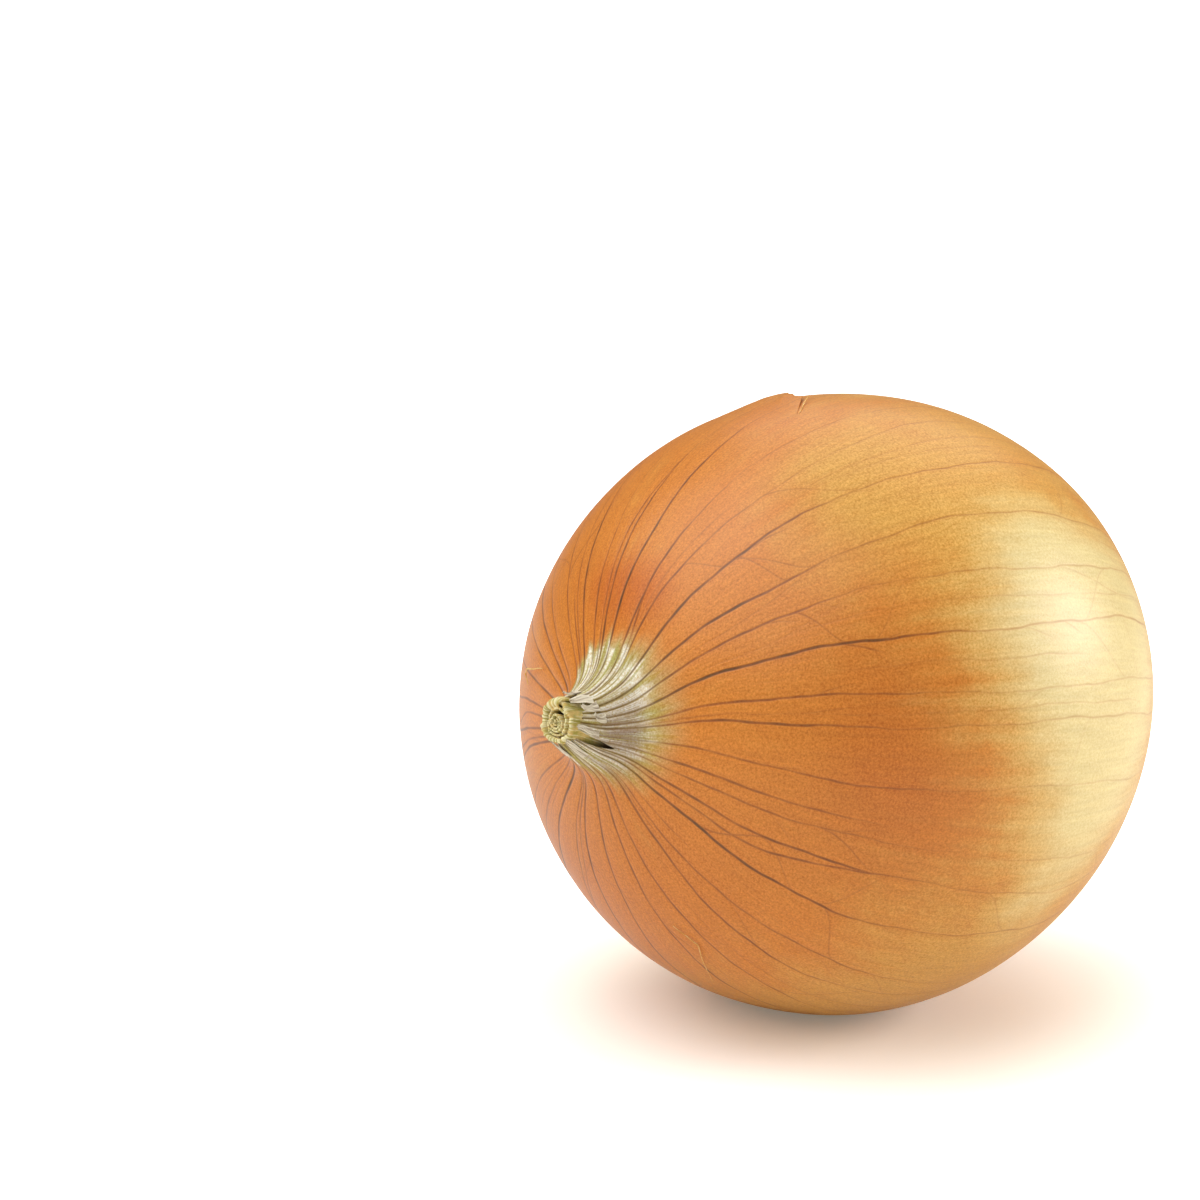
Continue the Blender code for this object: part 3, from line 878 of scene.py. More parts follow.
contrast_mix = {0: pale_and_highlight_share, 4: SPECKLE_AND_GLINT_CONTRAST, 5: PALE_CONTRAST}
contrast = add_node(tree, "Mix", contrast_mix, data_type="VECTOR").outputs[1]
lights = []
for noise, strong in ((speckles, contrast), (fibres, FIBRE_CONTRAST)):
    centred = add_node(tree, "Math", {0: noise, 1: 0.5}, operation="SUBTRACT")
    light_inputs = {0: centred, 1: strong, 2: (1, 1, 1)}
    lights.append(add_node(tree, "VectorMath", light_inputs, operation="MULTIPLY_ADD"))
light = add_node(tree, "VectorMath", {0: lights[0], 1: lights[1]}, operation="MULTIPLY")
light_mix = {0: 1.0, 6: colour, 7: light}
colour = add_node(tree, "Mix", light_mix, data_type="RGBA", blend_type="MULTIPLY").outputs[2]
print("nodes so far", len(tree.nodes))

# %% [markdown]
# The sheen is broad and low, because the film is wrinkled at a scale that the eye can't see.
# The fan is nearly matt. Fibres, speckles and sunken veins also stand in the relief.

# %% Give the tunic its sheen and its fine relief
SHEEN_ROUGHNESS = 0.32
FAN_ROUGHNESS = 0.72
TUNIC_SPECULAR = 0.5
TUNIC_IOR = 1.45

rough_range = {"Value": zones["fan"], "To Min": SHEEN_ROUGHNESS, "To Max": FAN_ROUGHNESS}
rough = add_node(tree, "MapRange", rough_range)
rough = add_node(tree, "Math", {0: speckles, 1: 0.1, 2: rough}, operation="MULTIPLY_ADD")
half_speckles = add_node(tree, "Math", {0: speckles, 1: 0.6}, operation="MULTIPLY")
fine = add_node(tree, "Math", {0: fibres, 1: 0.6, 2: half_speckles}, operation="MULTIPLY_ADD")
fine = add_node(tree, "Math", {0: vein, 1: -0.8, 2: fine}, operation="MULTIPLY_ADD")
finish_surface(tree, shader, colour, SHEEN_ROUGHNESS, fine, strength=0.35, depth_mm=0.10)
tree.links.new(rough.outputs[0], shader.inputs["Roughness"])
shader.inputs["IOR"].default_value = TUNIC_IOR
shader.inputs["Specular IOR Level"].default_value = TUNIC_SPECULAR
tunic.data.materials.append(skin_material)
print("the tunic's material has", len(tree.nodes), "nodes")

# %% [markdown]
# The tunic moves with the one body of the onion, and is shown instead of the CAD bulb.

# %% Let the tunic stand for the CAD bulb
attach(tunic, "root")
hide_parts("bulb")

# %% [markdown]
# ## Sheets of dry leaf
# Scraps, torn flaps and rolled leaf bases are all the same thing: a thin sheet that is bent
# some way. Each starts as a flat grid. A function says where each of its points goes, from its
# share across and its share along the sheet, as if the sheet were bent over a form by hand.
# Solidify then gives it the thickness of paper.


# %% Bend a flat grid and give it a thickness
def flat_grid(name, across_count, along_count):
    """A flat grid, with each vertex's share from 0 to 1 across it and along it."""
    bpy.ops.object.select_all(action="DESELECT")
    bpy.ops.mesh.primitive_grid_add(x_subdivisions=across_count, y_subdivisions=along_count, size=1)
    piece = keep_as(name)
    flat = np.empty(len(piece.data.vertices) * 3)
    piece.data.vertices.foreach_get("co", flat)
    flat = flat.reshape(-1, 3)
    return piece, flat[:, 0] + 0.5, flat[:, 1] + 0.5


def set_places(piece, places):
    """Moves a mesh's vertices to new places."""
    piece.data.vertices.foreach_set("co", np.ascontiguousarray(places, dtype=np.float32).ravel())
    piece.data.update()


def thicken(piece, thickness):
    """Gives a sheet a thickness, half to each side, and applies it."""
    bpy.context.view_layer.objects.active = piece
    wall = piece.modifiers.new("paper", "SOLIDIFY")
    wall.thickness = thickness
    wall.offset = 0.0
    bpy.ops.object.modifier_apply(modifier=wall.name)


def join_as(name, pieces):
    """Joins pieces into one object."""
    bpy.ops.object.select_all(action="DESELECT")
    for piece in pieces:
        piece.select_set(True)
    bpy.context.view_layer.objects.active = pieces[0]
    bpy.ops.object.join()
    return keep_as(name)


def ring_places(angle, radius, height):
    """Places at an angle round the axis, a distance from it and a height along it."""
    return np.stack([radius * np.cos(angle), radius * np.sin(angle), height], axis=-1)


# %% [markdown]
# ## The dried leaf bases in the neck
# An onion's leaves are tubes, one inside the other. Topping the onion cuts them across a few
# millimetres above the bulb, and they dry to ribbed, greenish straw. The outermost tube starts
# as a circle that is extruded and narrowed up inside the collar, turned over at the cut, and
# closed a little way down. The tubes inside it are sheets that are rolled up.

# %% Extrude the outer leaf tube
TUBE_SIDES = 156
TUBE_START = (5.15, 40.9)
TUBE_STEPS = (
    (4.50, 41.6),
    (3.90, 42.3),
    (3.35, 43.0),
    (2.90, 43.8),
    (2.62, 44.6),
    (2.50, 45.3),
    (2.52, 45.8),
    (2.58, 46.2),
    (2.52, 46.45),
    (2.30, 46.52),
    (2.08, 46.42),
    (2.00, 46.0),
    (1.96, 45.5),
    (1.90, 45.2),
    (1.20, 45.1),
)


def extruded(name, sides, start, steps, foot, cap_end):
    """A circle that is extruded from one radius and height to the next. Its foot may be a face."""
    radius, height = start
    bpy.ops.object.select_all(action="DESELECT")
    circle = {"vertices": sides, "radius": radius, "location": (0, 0, height)}
    bpy.ops.mesh.primitive_circle_add(fill_type=foot, **circle)
    piece = keep_as(name)
    bpy.ops.object.mode_set(mode="EDIT")
    bpy.ops.mesh.select_all(action="SELECT")
    for next_radius, next_height in steps:
        rise = {"value": (0, 0, next_height - height)}
        bpy.ops.mesh.extrude_region_move(TRANSFORM_OT_translate=rise)
        bpy.ops.transform.resize(value=(next_radius / radius, next_radius / radius, 1))
        radius, height = next_radius, next_height
    if cap_end:
        bpy.ops.mesh.edge_face_add()
    bpy.ops.mesh.select_all(action="SELECT")
    bpy.ops.mesh.normals_make_consistent(inside=False)
    bpy.ops.object.mode_set(mode="OBJECT")
    bpy.ops.object.transform_apply(location=True)
    return piece


leaf_tube = extruded("leaf_tube", TUBE_SIDES, TUBE_START, TUBE_STEPS, "NOTHING", True)
print("the leaf tube is", leaf_tube.dimensions.z, "mm high")

# %% [markdown]
# Strings in a leaf base stay stiff while the flesh between them shrinks, so the dry tube is
# ribbed and no longer round. Waves round the tube move its vertices in and out.

# %% Dry the tube into ribs and buckles
TUBE_RIBS = 26
TUBE_RIB_HEIGHT = 0.10
TUBE_BUCKLES = ((2, 0.10), (3, 0.13), (5, 0.07))
BULGE_OUT = 0.38
BULGE_ANGLE = 22
BULGE_HEIGHT = 45.2
BULGE_BREADTH = 30
BULGE_RISE = 0.8
DRIED_FROM = 43.5
DRIED_TO = 46.0
CUT_HEIGHTS = (45.4, 46.3)
CUT_SLANT = 0.25
LEAF_SEED = 31

leaf_draw = random.Random(LEAF_SEED)


def buckles(angle, waves, draw):
    """The uneven outline of a tube that has dried out of round, in mm."""
    return sum(size * np.sin(count * angle + draw.uniform(0, math.tau)) for count, size in waves)


def tube_polar(places):
    """The angle, the radius and the height of places on an upright piece."""
    return np.arctan2(places[:, 1], places[:, 0]), np.hypot(places[:, 0], places[:, 1]), places[:, 2]


def mesh_places(piece):
    """The places of a mesh's vertices."""
    places = np.empty(len(piece.data.vertices) * 3)
    piece.data.vertices.foreach_get("co", places)
    return places.reshape(-1, 3)


angle, radius, height = tube_polar(mesh_places(leaf_tube))
share = smooth_step(DRIED_FROM, DRIED_TO, height) * np.clip(radius / 2.0, 0, 1)
ribs = np.abs(np.cos(TUBE_RIBS / 2 * angle)) - 0.6
outward = np.where((radius > 2.2) | (height < 45.5), 1.0, -0.7)
bulge = BULGE_OUT * np.exp(-(((np.degrees(angle) - BULGE_ANGLE) / BULGE_BREADTH) ** 2))
bulge = bulge * np.exp(-(((height - BULGE_HEIGHT) / BULGE_RISE) ** 2))
radius = radius + TUBE_RIB_HEIGHT * ribs * outward * (0.3 + 0.7 * share)
buckled = buckles(angle, TUBE_BUCKLES, leaf_draw) * share
radius = radius + buckled + bulge * (outward > 0)
ragged_cut = 0.10 * np.sin(7 * angle) + 0.07 * np.sin(13 * angle + 1) + 0.05 * ribs
height = height + (ragged_cut - CUT_SLANT * np.cos(angle + 1.0)) * smooth_step(*CUT_HEIGHTS, height)
set_places(leaf_tube, ring_places(angle, radius, height))
print("the dry tube is out of round by", buckled.max() - buckled.min(), "mm")

# %% [markdown]
# The younger leaves show in the cut end as a spiral. Each is one sheet that is bent round a
# spiral, because separate rings would look turned on a lathe.

# %% Roll up the inner leaves
# A leaf is its name, its outer radius, the pitch and the turns of its spiral, the angle where it
# starts, its middle, its foot and its top, its ribs in a turn, and how far it is squashed.
ROLLED_LEAVES = (
    ("second leaf", 1.70, 0.12, 1.04, 0.6, (0.04, -0.05), 45.0, 46.35, 18, 1.03),
    ("third leaf", 1.18, 0.36, 1.55, 2.4, (-0.12, 0.12), 45.0, 46.45, 12, 0.93),
    ("heart leaf", 0.42, 0.20, 1.2, 0.4, (-0.16, 0.14), 45.0, 46.25, 7, 0.8),
)
ROLL_WALL = 0.24


def rolled_leaf(name, outer, pitch, turns, start, middle, foot, top, ribs_a_turn, squash):
    """A leaf rolled up in the neck: a sheet bent round a spiral, ribbed, and out of round."""
    piece, across, along = flat_grid(name, round(90 * turns), 9)
    angle = start + math.tau * turns * across
    ribs = np.abs(np.cos(ribs_a_turn / 2 * angle)) - 0.6
    radius = outer - pitch * turns * across + 0.055 * ribs
    radius = radius + buckles(angle, ((2, 0.05), (3, 0.05)), leaf_draw)
    uneven = 0.10 * np.sin(3 * angle + start) + 0.06 * np.sin(11 * angle)
    height = foot + (top + uneven - foot) * along
    places = ring_places(angle, radius, height)
    places[:, 0] = places[:, 0] * squash + middle[0]
    places[:, 1] = places[:, 1] / squash + middle[1]
    set_places(piece, places)
    thicken(piece, ROLL_WALL)
    return piece


rolled_leaves = [rolled_leaf(*leaf) for leaf in ROLLED_LEAVES]
print("the rolled leaves are", [leaf.name for leaf in rolled_leaves])

# %% [markdown]
# A leaf base that was folded outwards when the onion was topped has dried over the edge of the
# cut, as a rounded straw-coloured lump on the upper side. It is a sheet again, whose path runs
# up the outside of the tube, over the edge and a little way down inside.


# %% Fold a leaf over the edge of the cut
SHEET_CELLS = 18
PATH_STEPS = 40
PATH_ROUNDING = 7


def sheet_on_neck(name, middle, width, path, thickness, narrowing=0.5, curl=0.0, ragged_by=0.12):
    """A sheet laid along the neck. Its path is pairs of radius and height, from foot to tip."""
    piece, across, along = flat_grid(name, SHEET_CELLS, SHEET_CELLS)
    stops = np.linspace(0, 1, len(path))
    smooth = np.linspace(0, 1, PATH_STEPS)
    kernel = np.ones(PATH_ROUNDING) / PATH_ROUNDING
    rounded = []
    for values in zip(*path):
        between = np.pad(np.interp(smooth, stops, values), PATH_ROUNDING // 2, mode="edge")
        rounded.append(np.convolve(between, kernel, mode="valid"))
    radii, heights = rounded
    sideways = across - 0.5
    teeth = ragged_by * (np.sin(9 * across + middle) + 0.6 * np.sin(23 * across + 2 * middle))
    along = along * (1 + teeth * along)
    breadth = math.radians(width) * (1 - narrowing * along) * (1 + 0.15 * np.sin(5 * along + middle))
    angle = math.radians(middle) + breadth * sideways + 0.06 * np.sin(4 * along + middle)
    wrinkle = 0.05 * np.sin(14 * across + 3 * middle) + 0.03 * np.sin(31 * across + middle)
    radius = np.interp(along, smooth, radii) + wrinkle + curl * (2 * sideways) ** 2 * along
    set_places(piece, ring_places(angle, radius, np.interp(along, smooth, heights)))
    thicken(piece, thickness)
    return piece


FOLDED_PATH = (
    (3.05, 43.6), (2.95, 44.6), (3.05, 45.5), (2.85, 46.25), (2.35, 46.65), (1.9, 46.4), (1.75, 46.0),
)
folded_leaf = sheet_on_neck("folded leaf", 18, 62, FOLDED_PATH, 0.22, narrowing=0.25, ragged_by=0.05)
print("the folded leaf has", len(folded_leaf.data.polygons), "faces")

# %% [markdown]
# The five pieces grew as one, so they are joined. They carry how near the cut each place is, and how
# much painted shade it gets deep in the cup and low inside the collar, for the material to read.

# %% Finish the neck leaves
GRAIN_RADIUS = 6.0
BEAD_HEIGHTS = (45.9, 46.35)
CUP_HEIGHTS = (45.1, 46.1)
CUP_RADII = (1.9, 2.2)
SHADED_HEIGHTS = (42.0, 44.2)

neck_leaves = join_as("dried_neck_leaves", [leaf_tube, *rolled_leaves, folded_leaf])
angle, radius, height = tube_polar(mesh_places(neck_leaves))
cut = smooth_step(*BEAD_HEIGHTS, height)
# Painted shade: the material darkens the leaves deep in the cup and low inside the collar.
deep_inside = (1 - smooth_step(*CUP_HEIGHTS, height)) * (1 - smooth_step(*CUP_RADII, radius))
lower_down = 1 - smooth_step(*SHADED_HEIGHTS, height)
store(neck_leaves.data, "cut", "FLOAT", "POINT", cut)
store(neck_leaves.data, "shade", "FLOAT", "POINT", np.clip(deep_inside + lower_down, 0, 1))
store(neck_leaves.data, "along_mm", "FLOAT_VECTOR", "POINT", ring_places(angle, GRAIN_RADIUS, height))
set_places(neck_leaves, lean(mesh_places(neck_leaves)))
lay_down(neck_leaves)
bpy.ops.object.shade_smooth_by_angle(angle=SHEET_SMOOTH)
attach(neck_leaves, "root")
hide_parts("neck_leaves")
print("the neck leaves have", len(neck_leaves.data.polygons), "faces")

# %% [markdown]
# ## The neck's material
# Leaf bases dry to a matt straw. Chlorophyll leaves them greenish by the cut, where the strings in each
# rib show as pale beads. Deep in the cup and low inside the collar they are darkened to brown, as
# painted shade.

# %% Build the dried leaf material
STRAW = "#DDBD70"
STRAW_GREEN = "#B0A24C"
STRAW_PALE = "#EDE3B0"
PAINTED_SHADE_BROWN = "#4A2F12"
LEAF_FIBRE_MM = 0.5
LEAF_PATCH_MM = 1.1

leaf_material, tree, shader = new_material("dried leaf base, matt ribbed straw")
here = add_node(tree, "TexCoord").outputs["Object"]
along = add_node(tree, "Attribute", attribute_name="along_mm").outputs["Vector"]
cut = add_node(tree, "Attribute", attribute_name="cut").outputs["Fac"]
depth_shade = add_node(tree, "Attribute", attribute_name="shade").outputs["Fac"]
drawn_out = add_node(tree, "Mapping", {"Vector": along, "Scale": (1, 1, 0.2)})
fibre_inputs = {"Vector": drawn_out, "Scale": 1 / LEAF_FIBRE_MM, "Detail": 3}
leaf_fibres = add_node(tree, "TexNoise", fibre_inputs)
patch_inputs = {"Vector": here, "Scale": 1 / (LEAF_PATCH_MM * MM), "Detail": 3}
leaf_patches = add_node(tree, "TexNoise", patch_inputs)
colour = stained(tree, STRAW, leaf_patches, STRAW_GREEN, low=0.38, high=0.62)
colour = stained(tree, colour, leaf_fibres, STRAW_PALE, low=0.48, high=0.66)
bead_range = {"Value": leaf_fibres, "From Min": 0.40, "From Max": 0.60}
beads = add_node(tree, "MapRange", bead_range, interpolation_type="SMOOTHSTEP")
beads = add_node(tree, "Math", {0: cut, 1: beads}, operation="MULTIPLY")
colour = stained(tree, colour, beads, STRAW_PALE, change="LINEAR")
# Painted shade: dark brown deep in the cup and low inside the collar.
colour = stained(tree, colour, depth_shade, PAINTED_SHADE_BROWN, change="LINEAR")
finish_surface(tree, shader, colour, 0.75, leaf_fibres, strength=0.6, depth_mm=0.12)
neck_leaves.data.materials.append(leaf_material)
print("the leaf material has", len(tree.nodes), "nodes")

# %% [markdown]
# ## Scraps of the torn collar
# Where the collar tore back, strips of it still cling to the neck, whitish and curled. Each is a
# sheet laid along the neck, foot on the collar and tip free. A scrap is given as its middle and
# its width in degrees round the neck, its path, and how much it curls. A path says how far the
# scrap is off the collar, and how high up the neck.

# %% Lay the scraps round the neck
SCRAPS = (
    (-26, 25, ((0.08, 43.5), (0.22, 44.3), (0.12, 45.1), (0.35, 45.8)), 0.12),
    (-48, 17, ((0.08, 43.3), (0.28, 44.1), (0.42, 44.8), (0.75, 45.3)), 0.25),
    (-66, 13, ((0.06, 42.9), (0.30, 43.5), (0.55, 44.1), (0.90, 44.4)), 0.25),
    (-90, 13, ((0.05, 43.6), (0.16, 44.3), (0.20, 45.1), (0.28, 45.8)), 0.05),
    (2, 16, ((0.08, 43.6), (0.20, 44.5), (0.40, 45.2), (0.85, 45.7)), 0.10),
    (-140, 20, ((0.05, 43.8), (0.12, 44.9), (0.14, 45.8), (0.15, 46.3)), 0.05),
    (170, 24, ((0.05, 44.1), (0.12, 45.1), (0.15, 45.9), (0.25, 46.4)), 0.05),
    (110, 22, ((0.05, 44.1), (0.15, 44.9), (0.25, 45.6), (0.55, 46.1)), 0.10),
)
SCRAP_THICKNESS = 0.09

profile_radii = profile_heights * np.tan(profile_polars)
scraps = []
for middle, width, path, curl in SCRAPS:
    on_neck = [(off + np.interp(-high, -profile_heights, profile_radii), high) for off, high in path]
    scraps.append(sheet_on_neck("scrap", middle, width, on_neck, SCRAP_THICKNESS, curl=curl))
collar_scraps = join_as("torn_collar_scraps", scraps)
angle, radius, height = tube_polar(mesh_places(collar_scraps))
store(collar_scraps.data, "along_mm", "FLOAT_VECTOR", "POINT", ring_places(angle, GRAIN_RADIUS, height))
set_places(collar_scraps, lean(mesh_places(collar_scraps)))
lay_down(collar_scraps)
bpy.ops.object.shade_smooth_by_angle(angle=SHEET_SMOOTH)
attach(collar_scraps, "root")
print(len(SCRAPS), "scraps of the torn collar")

# %% [markdown]
# Torn collar is thinner than the tunic and has no pigment. It is matt, whitish, and streaked with
# grey along its fibres.

# %% Build the torn paper material
SCRAP_WHITE = "#E6DCC3"
SCRAP_GREY = "#A9977F"
PAPER_FIBRE_MM = 0.4

paper_material, tree, shader = new_material("torn tunic paper, matt and whitish")
along = add_node(tree, "Attribute", attribute_name="along_mm").outputs["Vector"]
drawn_out = add_node(tree, "Mapping", {"Vector": along, "Scale": (1, 1, 0.15)})
paper_inputs = {"Vector": drawn_out, "Scale": 1 / PAPER_FIBRE_MM, "Detail": 3}
paper_fibres = add_node(tree, "TexNoise", paper_inputs)
colour = stained(tree, SCRAP_WHITE, paper_fibres, SCRAP_GREY, low=0.44, high=0.68)
finish_surface(tree, shader, colour, 0.8, paper_fibres, strength=0.5, depth_mm=0.08)
collar_scraps.data.materials.append(paper_material)
print("the paper material has", len(tree.nodes), "nodes")

# %% [markdown]
# ## A torn flap of skin
# On top of the bulb a corner of the outermost skin has come loose and stands up a little. It is
# a sheet that follows the bulb's own form, at a height that grows towards its free edge, and it
# carries the same veins and the same finish as the skin below it.

# %% Lift the flap from the bulb
FLAP_POLARS = (math.radians(69), math.radians(82))
FLAP_AROUND = (math.radians(-4), math.radians(24))
FLAP_SKEW = math.radians(8)
FLAP_LIFT = 0.6
FLAP_THICKNESS = 0.10
FLAP_OFF = 0.05
FLAP_SUNK = 0.12
FLAP_TUCK = 0.16
FLAP_TEETH = ((7, 0.6, 0.10), (19, 0.0, 0.05))
FLAP_ROUNDING = 0.25

skin_flap, across, along = flat_grid("skin_flap", 60, 40)
torn = sum(size * np.abs(np.sin(count * across + start)) for count, start, size in FLAP_TEETH)
edge = 1 - torn - FLAP_ROUNDING * (1 - across) ** 3
flap_polar = FLAP_POLARS[0] + (FLAP_POLARS[1] - FLAP_POLARS[0]) * along * edge
flap_side = FLAP_AROUND[0] + FLAP_SKEW * along
flap_around = flap_side + (FLAP_AROUND[1] - flap_side) * across
free = smooth_step(0.2, 0.95, along) * (0.6 + 0.4 * smooth_step(0.0, 0.3, across))
free = free * (1 - 0.85 * smooth_step(0.4, 1.0, across))
sunk = FLAP_SUNK * (1 - smooth_step(0.0, 0.25, along))
lift = FLAP_LIFT * free + FLAP_OFF - sunk + slow_waves(flap_polar, flap_around)
lift -= FLAP_TUCK * smooth_step(0.75, 1.0, across)
set_places(skin_flap, surface_places(flap_polar, flap_around, lift))
flap_from_axis = skin_distance(flap_polar) * np.sin(flap_polar)
write_veins(skin_flap.data, *vein_distances(flap_polar, flap_around, flap_from_axis))
write_colours(skin_flap.data, flap_polar, flap_around)
thicken(skin_flap, FLAP_THICKNESS)
lay_down(skin_flap)
bpy.ops.object.shade_smooth_by_angle(angle=SHEET_SMOOTH)
skin_flap.data.materials.append(skin_material)
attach(skin_flap, "root")
print("the flap stands up by", lift.max(), "mm at most")

# %% [markdown]
# ## Loose fibres
# Small golden strings have come away from the veins and lie on the skin. A string is a curve
# with a bevel, made a mesh once it is in place.


# %% Lay loose fibres on the skin
FIBRE_STOPS = 24
CURLED_STOPS = ((25.5, 89, 0.1), (26.4, 85, 0.45), (24.5, 81.5, 0.8), (21, 79, 0.6), (18.7, 75.6, 0.15))
LYING_STOPS = ((40.5, -164, 0.1), (43, -162, 0.16), (46, -161, 0.16), (50, -165, 0.14), (57, -170, 0.1))
TEAR_STOPS = ((70, -3.6, 0.12), (73, -1.4, 0.24), (76, 0.9, 0.44), (79, 3.3, 0.60))
BACK_STOPS = ((60, 120, 0.1), (64, 124, 0.2), (69, 122, 0.12))
FIBRES = (
    ("curled fibre", CURLED_STOPS, 0.2, 0.3),
    ("lying fibre", LYING_STOPS, 0.13, 0.2),
    ("tear edge", TEAR_STOPS, 0.13, 0.1),
    ("back fibre", BACK_STOPS, 0.12, 0.3),
)


def wire(name, places, radii, thickness):
    """A thread through some places: a curve with a round bevel that swells where radii say."""
    curve = bpy.data.curves.new(name, "CURVE")
    curve.dimensions = "3D"
    curve.bevel_depth = thickness / 2
    curve.bevel_resolution = 1
    curve.use_fill_caps = True
    spline = curve.splines.new("POLY")
    spline.points.add(len(places) - 1)
    for point, place, radius in zip(spline.points, places, radii):
        point.co = (*place, 1.0)
        point.radius = radius
    thread = bpy.data.objects.new(name, curve)
    bpy.context.scene.collection.objects.link(thread)
    return thread


def mesh_of_wires(name, threads):
    """Makes threads into meshes and joins them."""
    bpy.ops.object.select_all(action="DESELECT")
    for thread in threads:
        thread.select_set(True)
    bpy.context.view_layer.objects.active = threads[0]
    bpy.ops.object.convert(target="MESH")
    return join_as(name, threads)


def fibre(name, stops, thickness, wave):
    """A thin thread over the skin. A stop is its two angles in degrees and its height in mm."""
    shares = np.linspace(0, 1, len(stops))
    fine = np.linspace(0, 1, FIBRE_STOPS)
    columns = [np.interp(fine, shares, [stop[i] for stop in stops]) for i in range(3)]
    bend = wave * np.sin(9 * fine)
    places = surface_places(np.radians(columns[0] + bend), np.radians(columns[1]), columns[2])
    return wire(name, places, 1.15 - 0.7 * np.abs(2 * fine - 1), thickness)


loose_fibres = mesh_of_wires("loose_fibres", [fibre(*item) for item in FIBRES])
lay_down(loose_fibres)
bpy.ops.object.shade_smooth()
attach(loose_fibres, "root")
print(len(FIBRES), "fibres")

# %% [markdown]
# A loose string is golden and a little glossy, darker in some places than in others.

# %% Build the fibre material
FIBRE_GOLD = "#D9A23E"
FIBRE_PALE = "#EBCB84"
FIBRE_TONE_MM = 0.6

fibre_material, tree, shader = new_material("dry golden fibre")
here = add_node(tree, "TexCoord").outputs["Object"]
tone_inputs = {"Vector": here, "Scale": 1 / (FIBRE_TONE_MM * MM), "Detail": 2}
fibre_tone = add_node(tree, "TexNoise", tone_inputs)
tones = {"low": 0.35, "high": 0.65, "change": "LINEAR"}
colour = stained(tree, FIBRE_GOLD, fibre_tone, FIBRE_PALE, **tones)
tree.links.new(colour, shader.inputs["Base Color"])
shader.inputs["Roughness"].default_value = 0.55
loose_fibres.data.materials.append(fibre_material)
print("the fibre material has", len(tree.nodes), "nodes")

# %% [markdown]
# ## The root end
# Below the bulb sits the base plate, a short woody stem that looks like cork when it is dry. The
# roots grew out of it all over, and were trimmed to a few millimetres. The plate is a circle
# that is extruded into a low dome. One root is a curve with a bevel, and the others differ from
# it in length, lean and curl.

# %% Extrude the root plate
PLATE_SIDES = 144
PLATE_START = (7.45, seat_level + 1.0)
PLATE_STEPS = (
    (7.45, seat_level + 0.1),
    (7.25, seat_level - 0.25),
    (6.6, seat_level - 0.55),
    (5.8, seat_level - 0.75),
    (4.9, seat_level - 0.85),
    (4.0, seat_level - 0.80),
    (3.2, seat_level - 0.88),
    (2.4, seat_level - 0.80),
    (1.6, seat_level - 0.70),
    (0.8, seat_level - 0.60),
)

root_plate = extruded("root_plate", PLATE_SIDES, PLATE_START, PLATE_STEPS, "NGON", False)
print("the root plate is", root_plate.dimensions.x, "mm across")

# %% [markdown]
# Dry cork is uneven. A few waves round and across the plate are enough for a form this small.

# %% Crack and pit the plate
# A wave is its count round the plate, its count outwards and its height in mm.
CORK_WAVES = ((17, -2, 0.07), (31, 4, 0.06), (0, 7, 0.09))
CORK_SWELL = 0.10
PLATE_UNEVEN = 0.012

angle, radius, height = tube_polar(mesh_places(root_plate))
outer_face = height < seat_level + 0.5
cork = CORK_SWELL * np.sin(5 * angle + radius) * np.sin(2.1 * radius)
for round_count, out_count, size in CORK_WAVES:
    cork += size * np.sin(round_count * angle + out_count * radius)
cork *= np.clip(radius / 2.5, 0, 1) * outer_face
uneven = radius * (1 + PLATE_UNEVEN * np.sin(9 * angle))
set_places(root_plate, ring_places(angle, uneven, height + cork))
print("the cork stands out and in by", cork.max(), "and", cork.min(), "mm")

# %% [markdown]
# Roots sit in a spiral like sunflower seeds, which fills the plate evenly without rows. Each one
# is a thread with its own length, lean and curl.

# %% Grow the trimmed roots
ROOTS = 112
ROOT_SEED = 7
ROOT_STOPS = 9
ROOTED_RADIUS = 6.2
ROOT_SPLAY = math.radians(52)
ROOT_LENGTHS = (2.6, 6.2)
ROOT_THICKNESSES = (0.42, 0.75)
GOLDEN_ANGLE = math.radians(137.508)
root_draw = random.Random(ROOT_SEED)


def trimmed_root(number):
    """One dry wiry root: it leaves the plate, splays out, curls, and ends where it was cut."""
    share = math.sqrt((number + 0.5) / ROOTS)
    turn = number * GOLDEN_ANGLE + root_draw.uniform(-0.15, 0.15)
    out = Vector((math.cos(turn), math.sin(turn), 0))
    side = Vector((-out.y, out.x, 0))
    splay = ROOT_SPLAY * share * root_draw.uniform(0.6, 1.1)
    away = Vector((0, 0, -math.cos(splay))) + out * math.sin(splay)
    start = out * share * ROOTED_RADIUS + Vector((0, 0, seat_level - 0.2))
    length = root_draw.uniform(*ROOT_LENGTHS)
    curl_side = root_draw.uniform(-1, 1) * 1.3
    curl_out = root_draw.uniform(-0.6, 1.0) * 1.2
    wave = root_draw.uniform(0.05, 0.3)
    thick = root_draw.uniform(*ROOT_THICKNESSES)
    places = []
    radii = []
    for along in (stop / (ROOT_STOPS - 1) for stop in range(ROOT_STOPS)):
        place = start + away * length * along + (side * curl_side + out * curl_out) * along**2
        places.append(place + side * wave * math.sin(7 * along + number))
        radii.append(1.0 - 0.45 * along + 0.12 * math.sin(9 * along + number))
    return wire("root", places, radii, thick)


dry_roots = mesh_of_wires("dry_roots", [trimmed_root(number) for number in range(ROOTS)])
print(ROOTS, "roots,", len(dry_roots.data.polygons), "faces")

# %% [markdown]
# Round the plate the skin has torn into brown flakes, which curl in over the plate's edge. They
# are the same sheets as the scraps on the neck, laid the other way up.

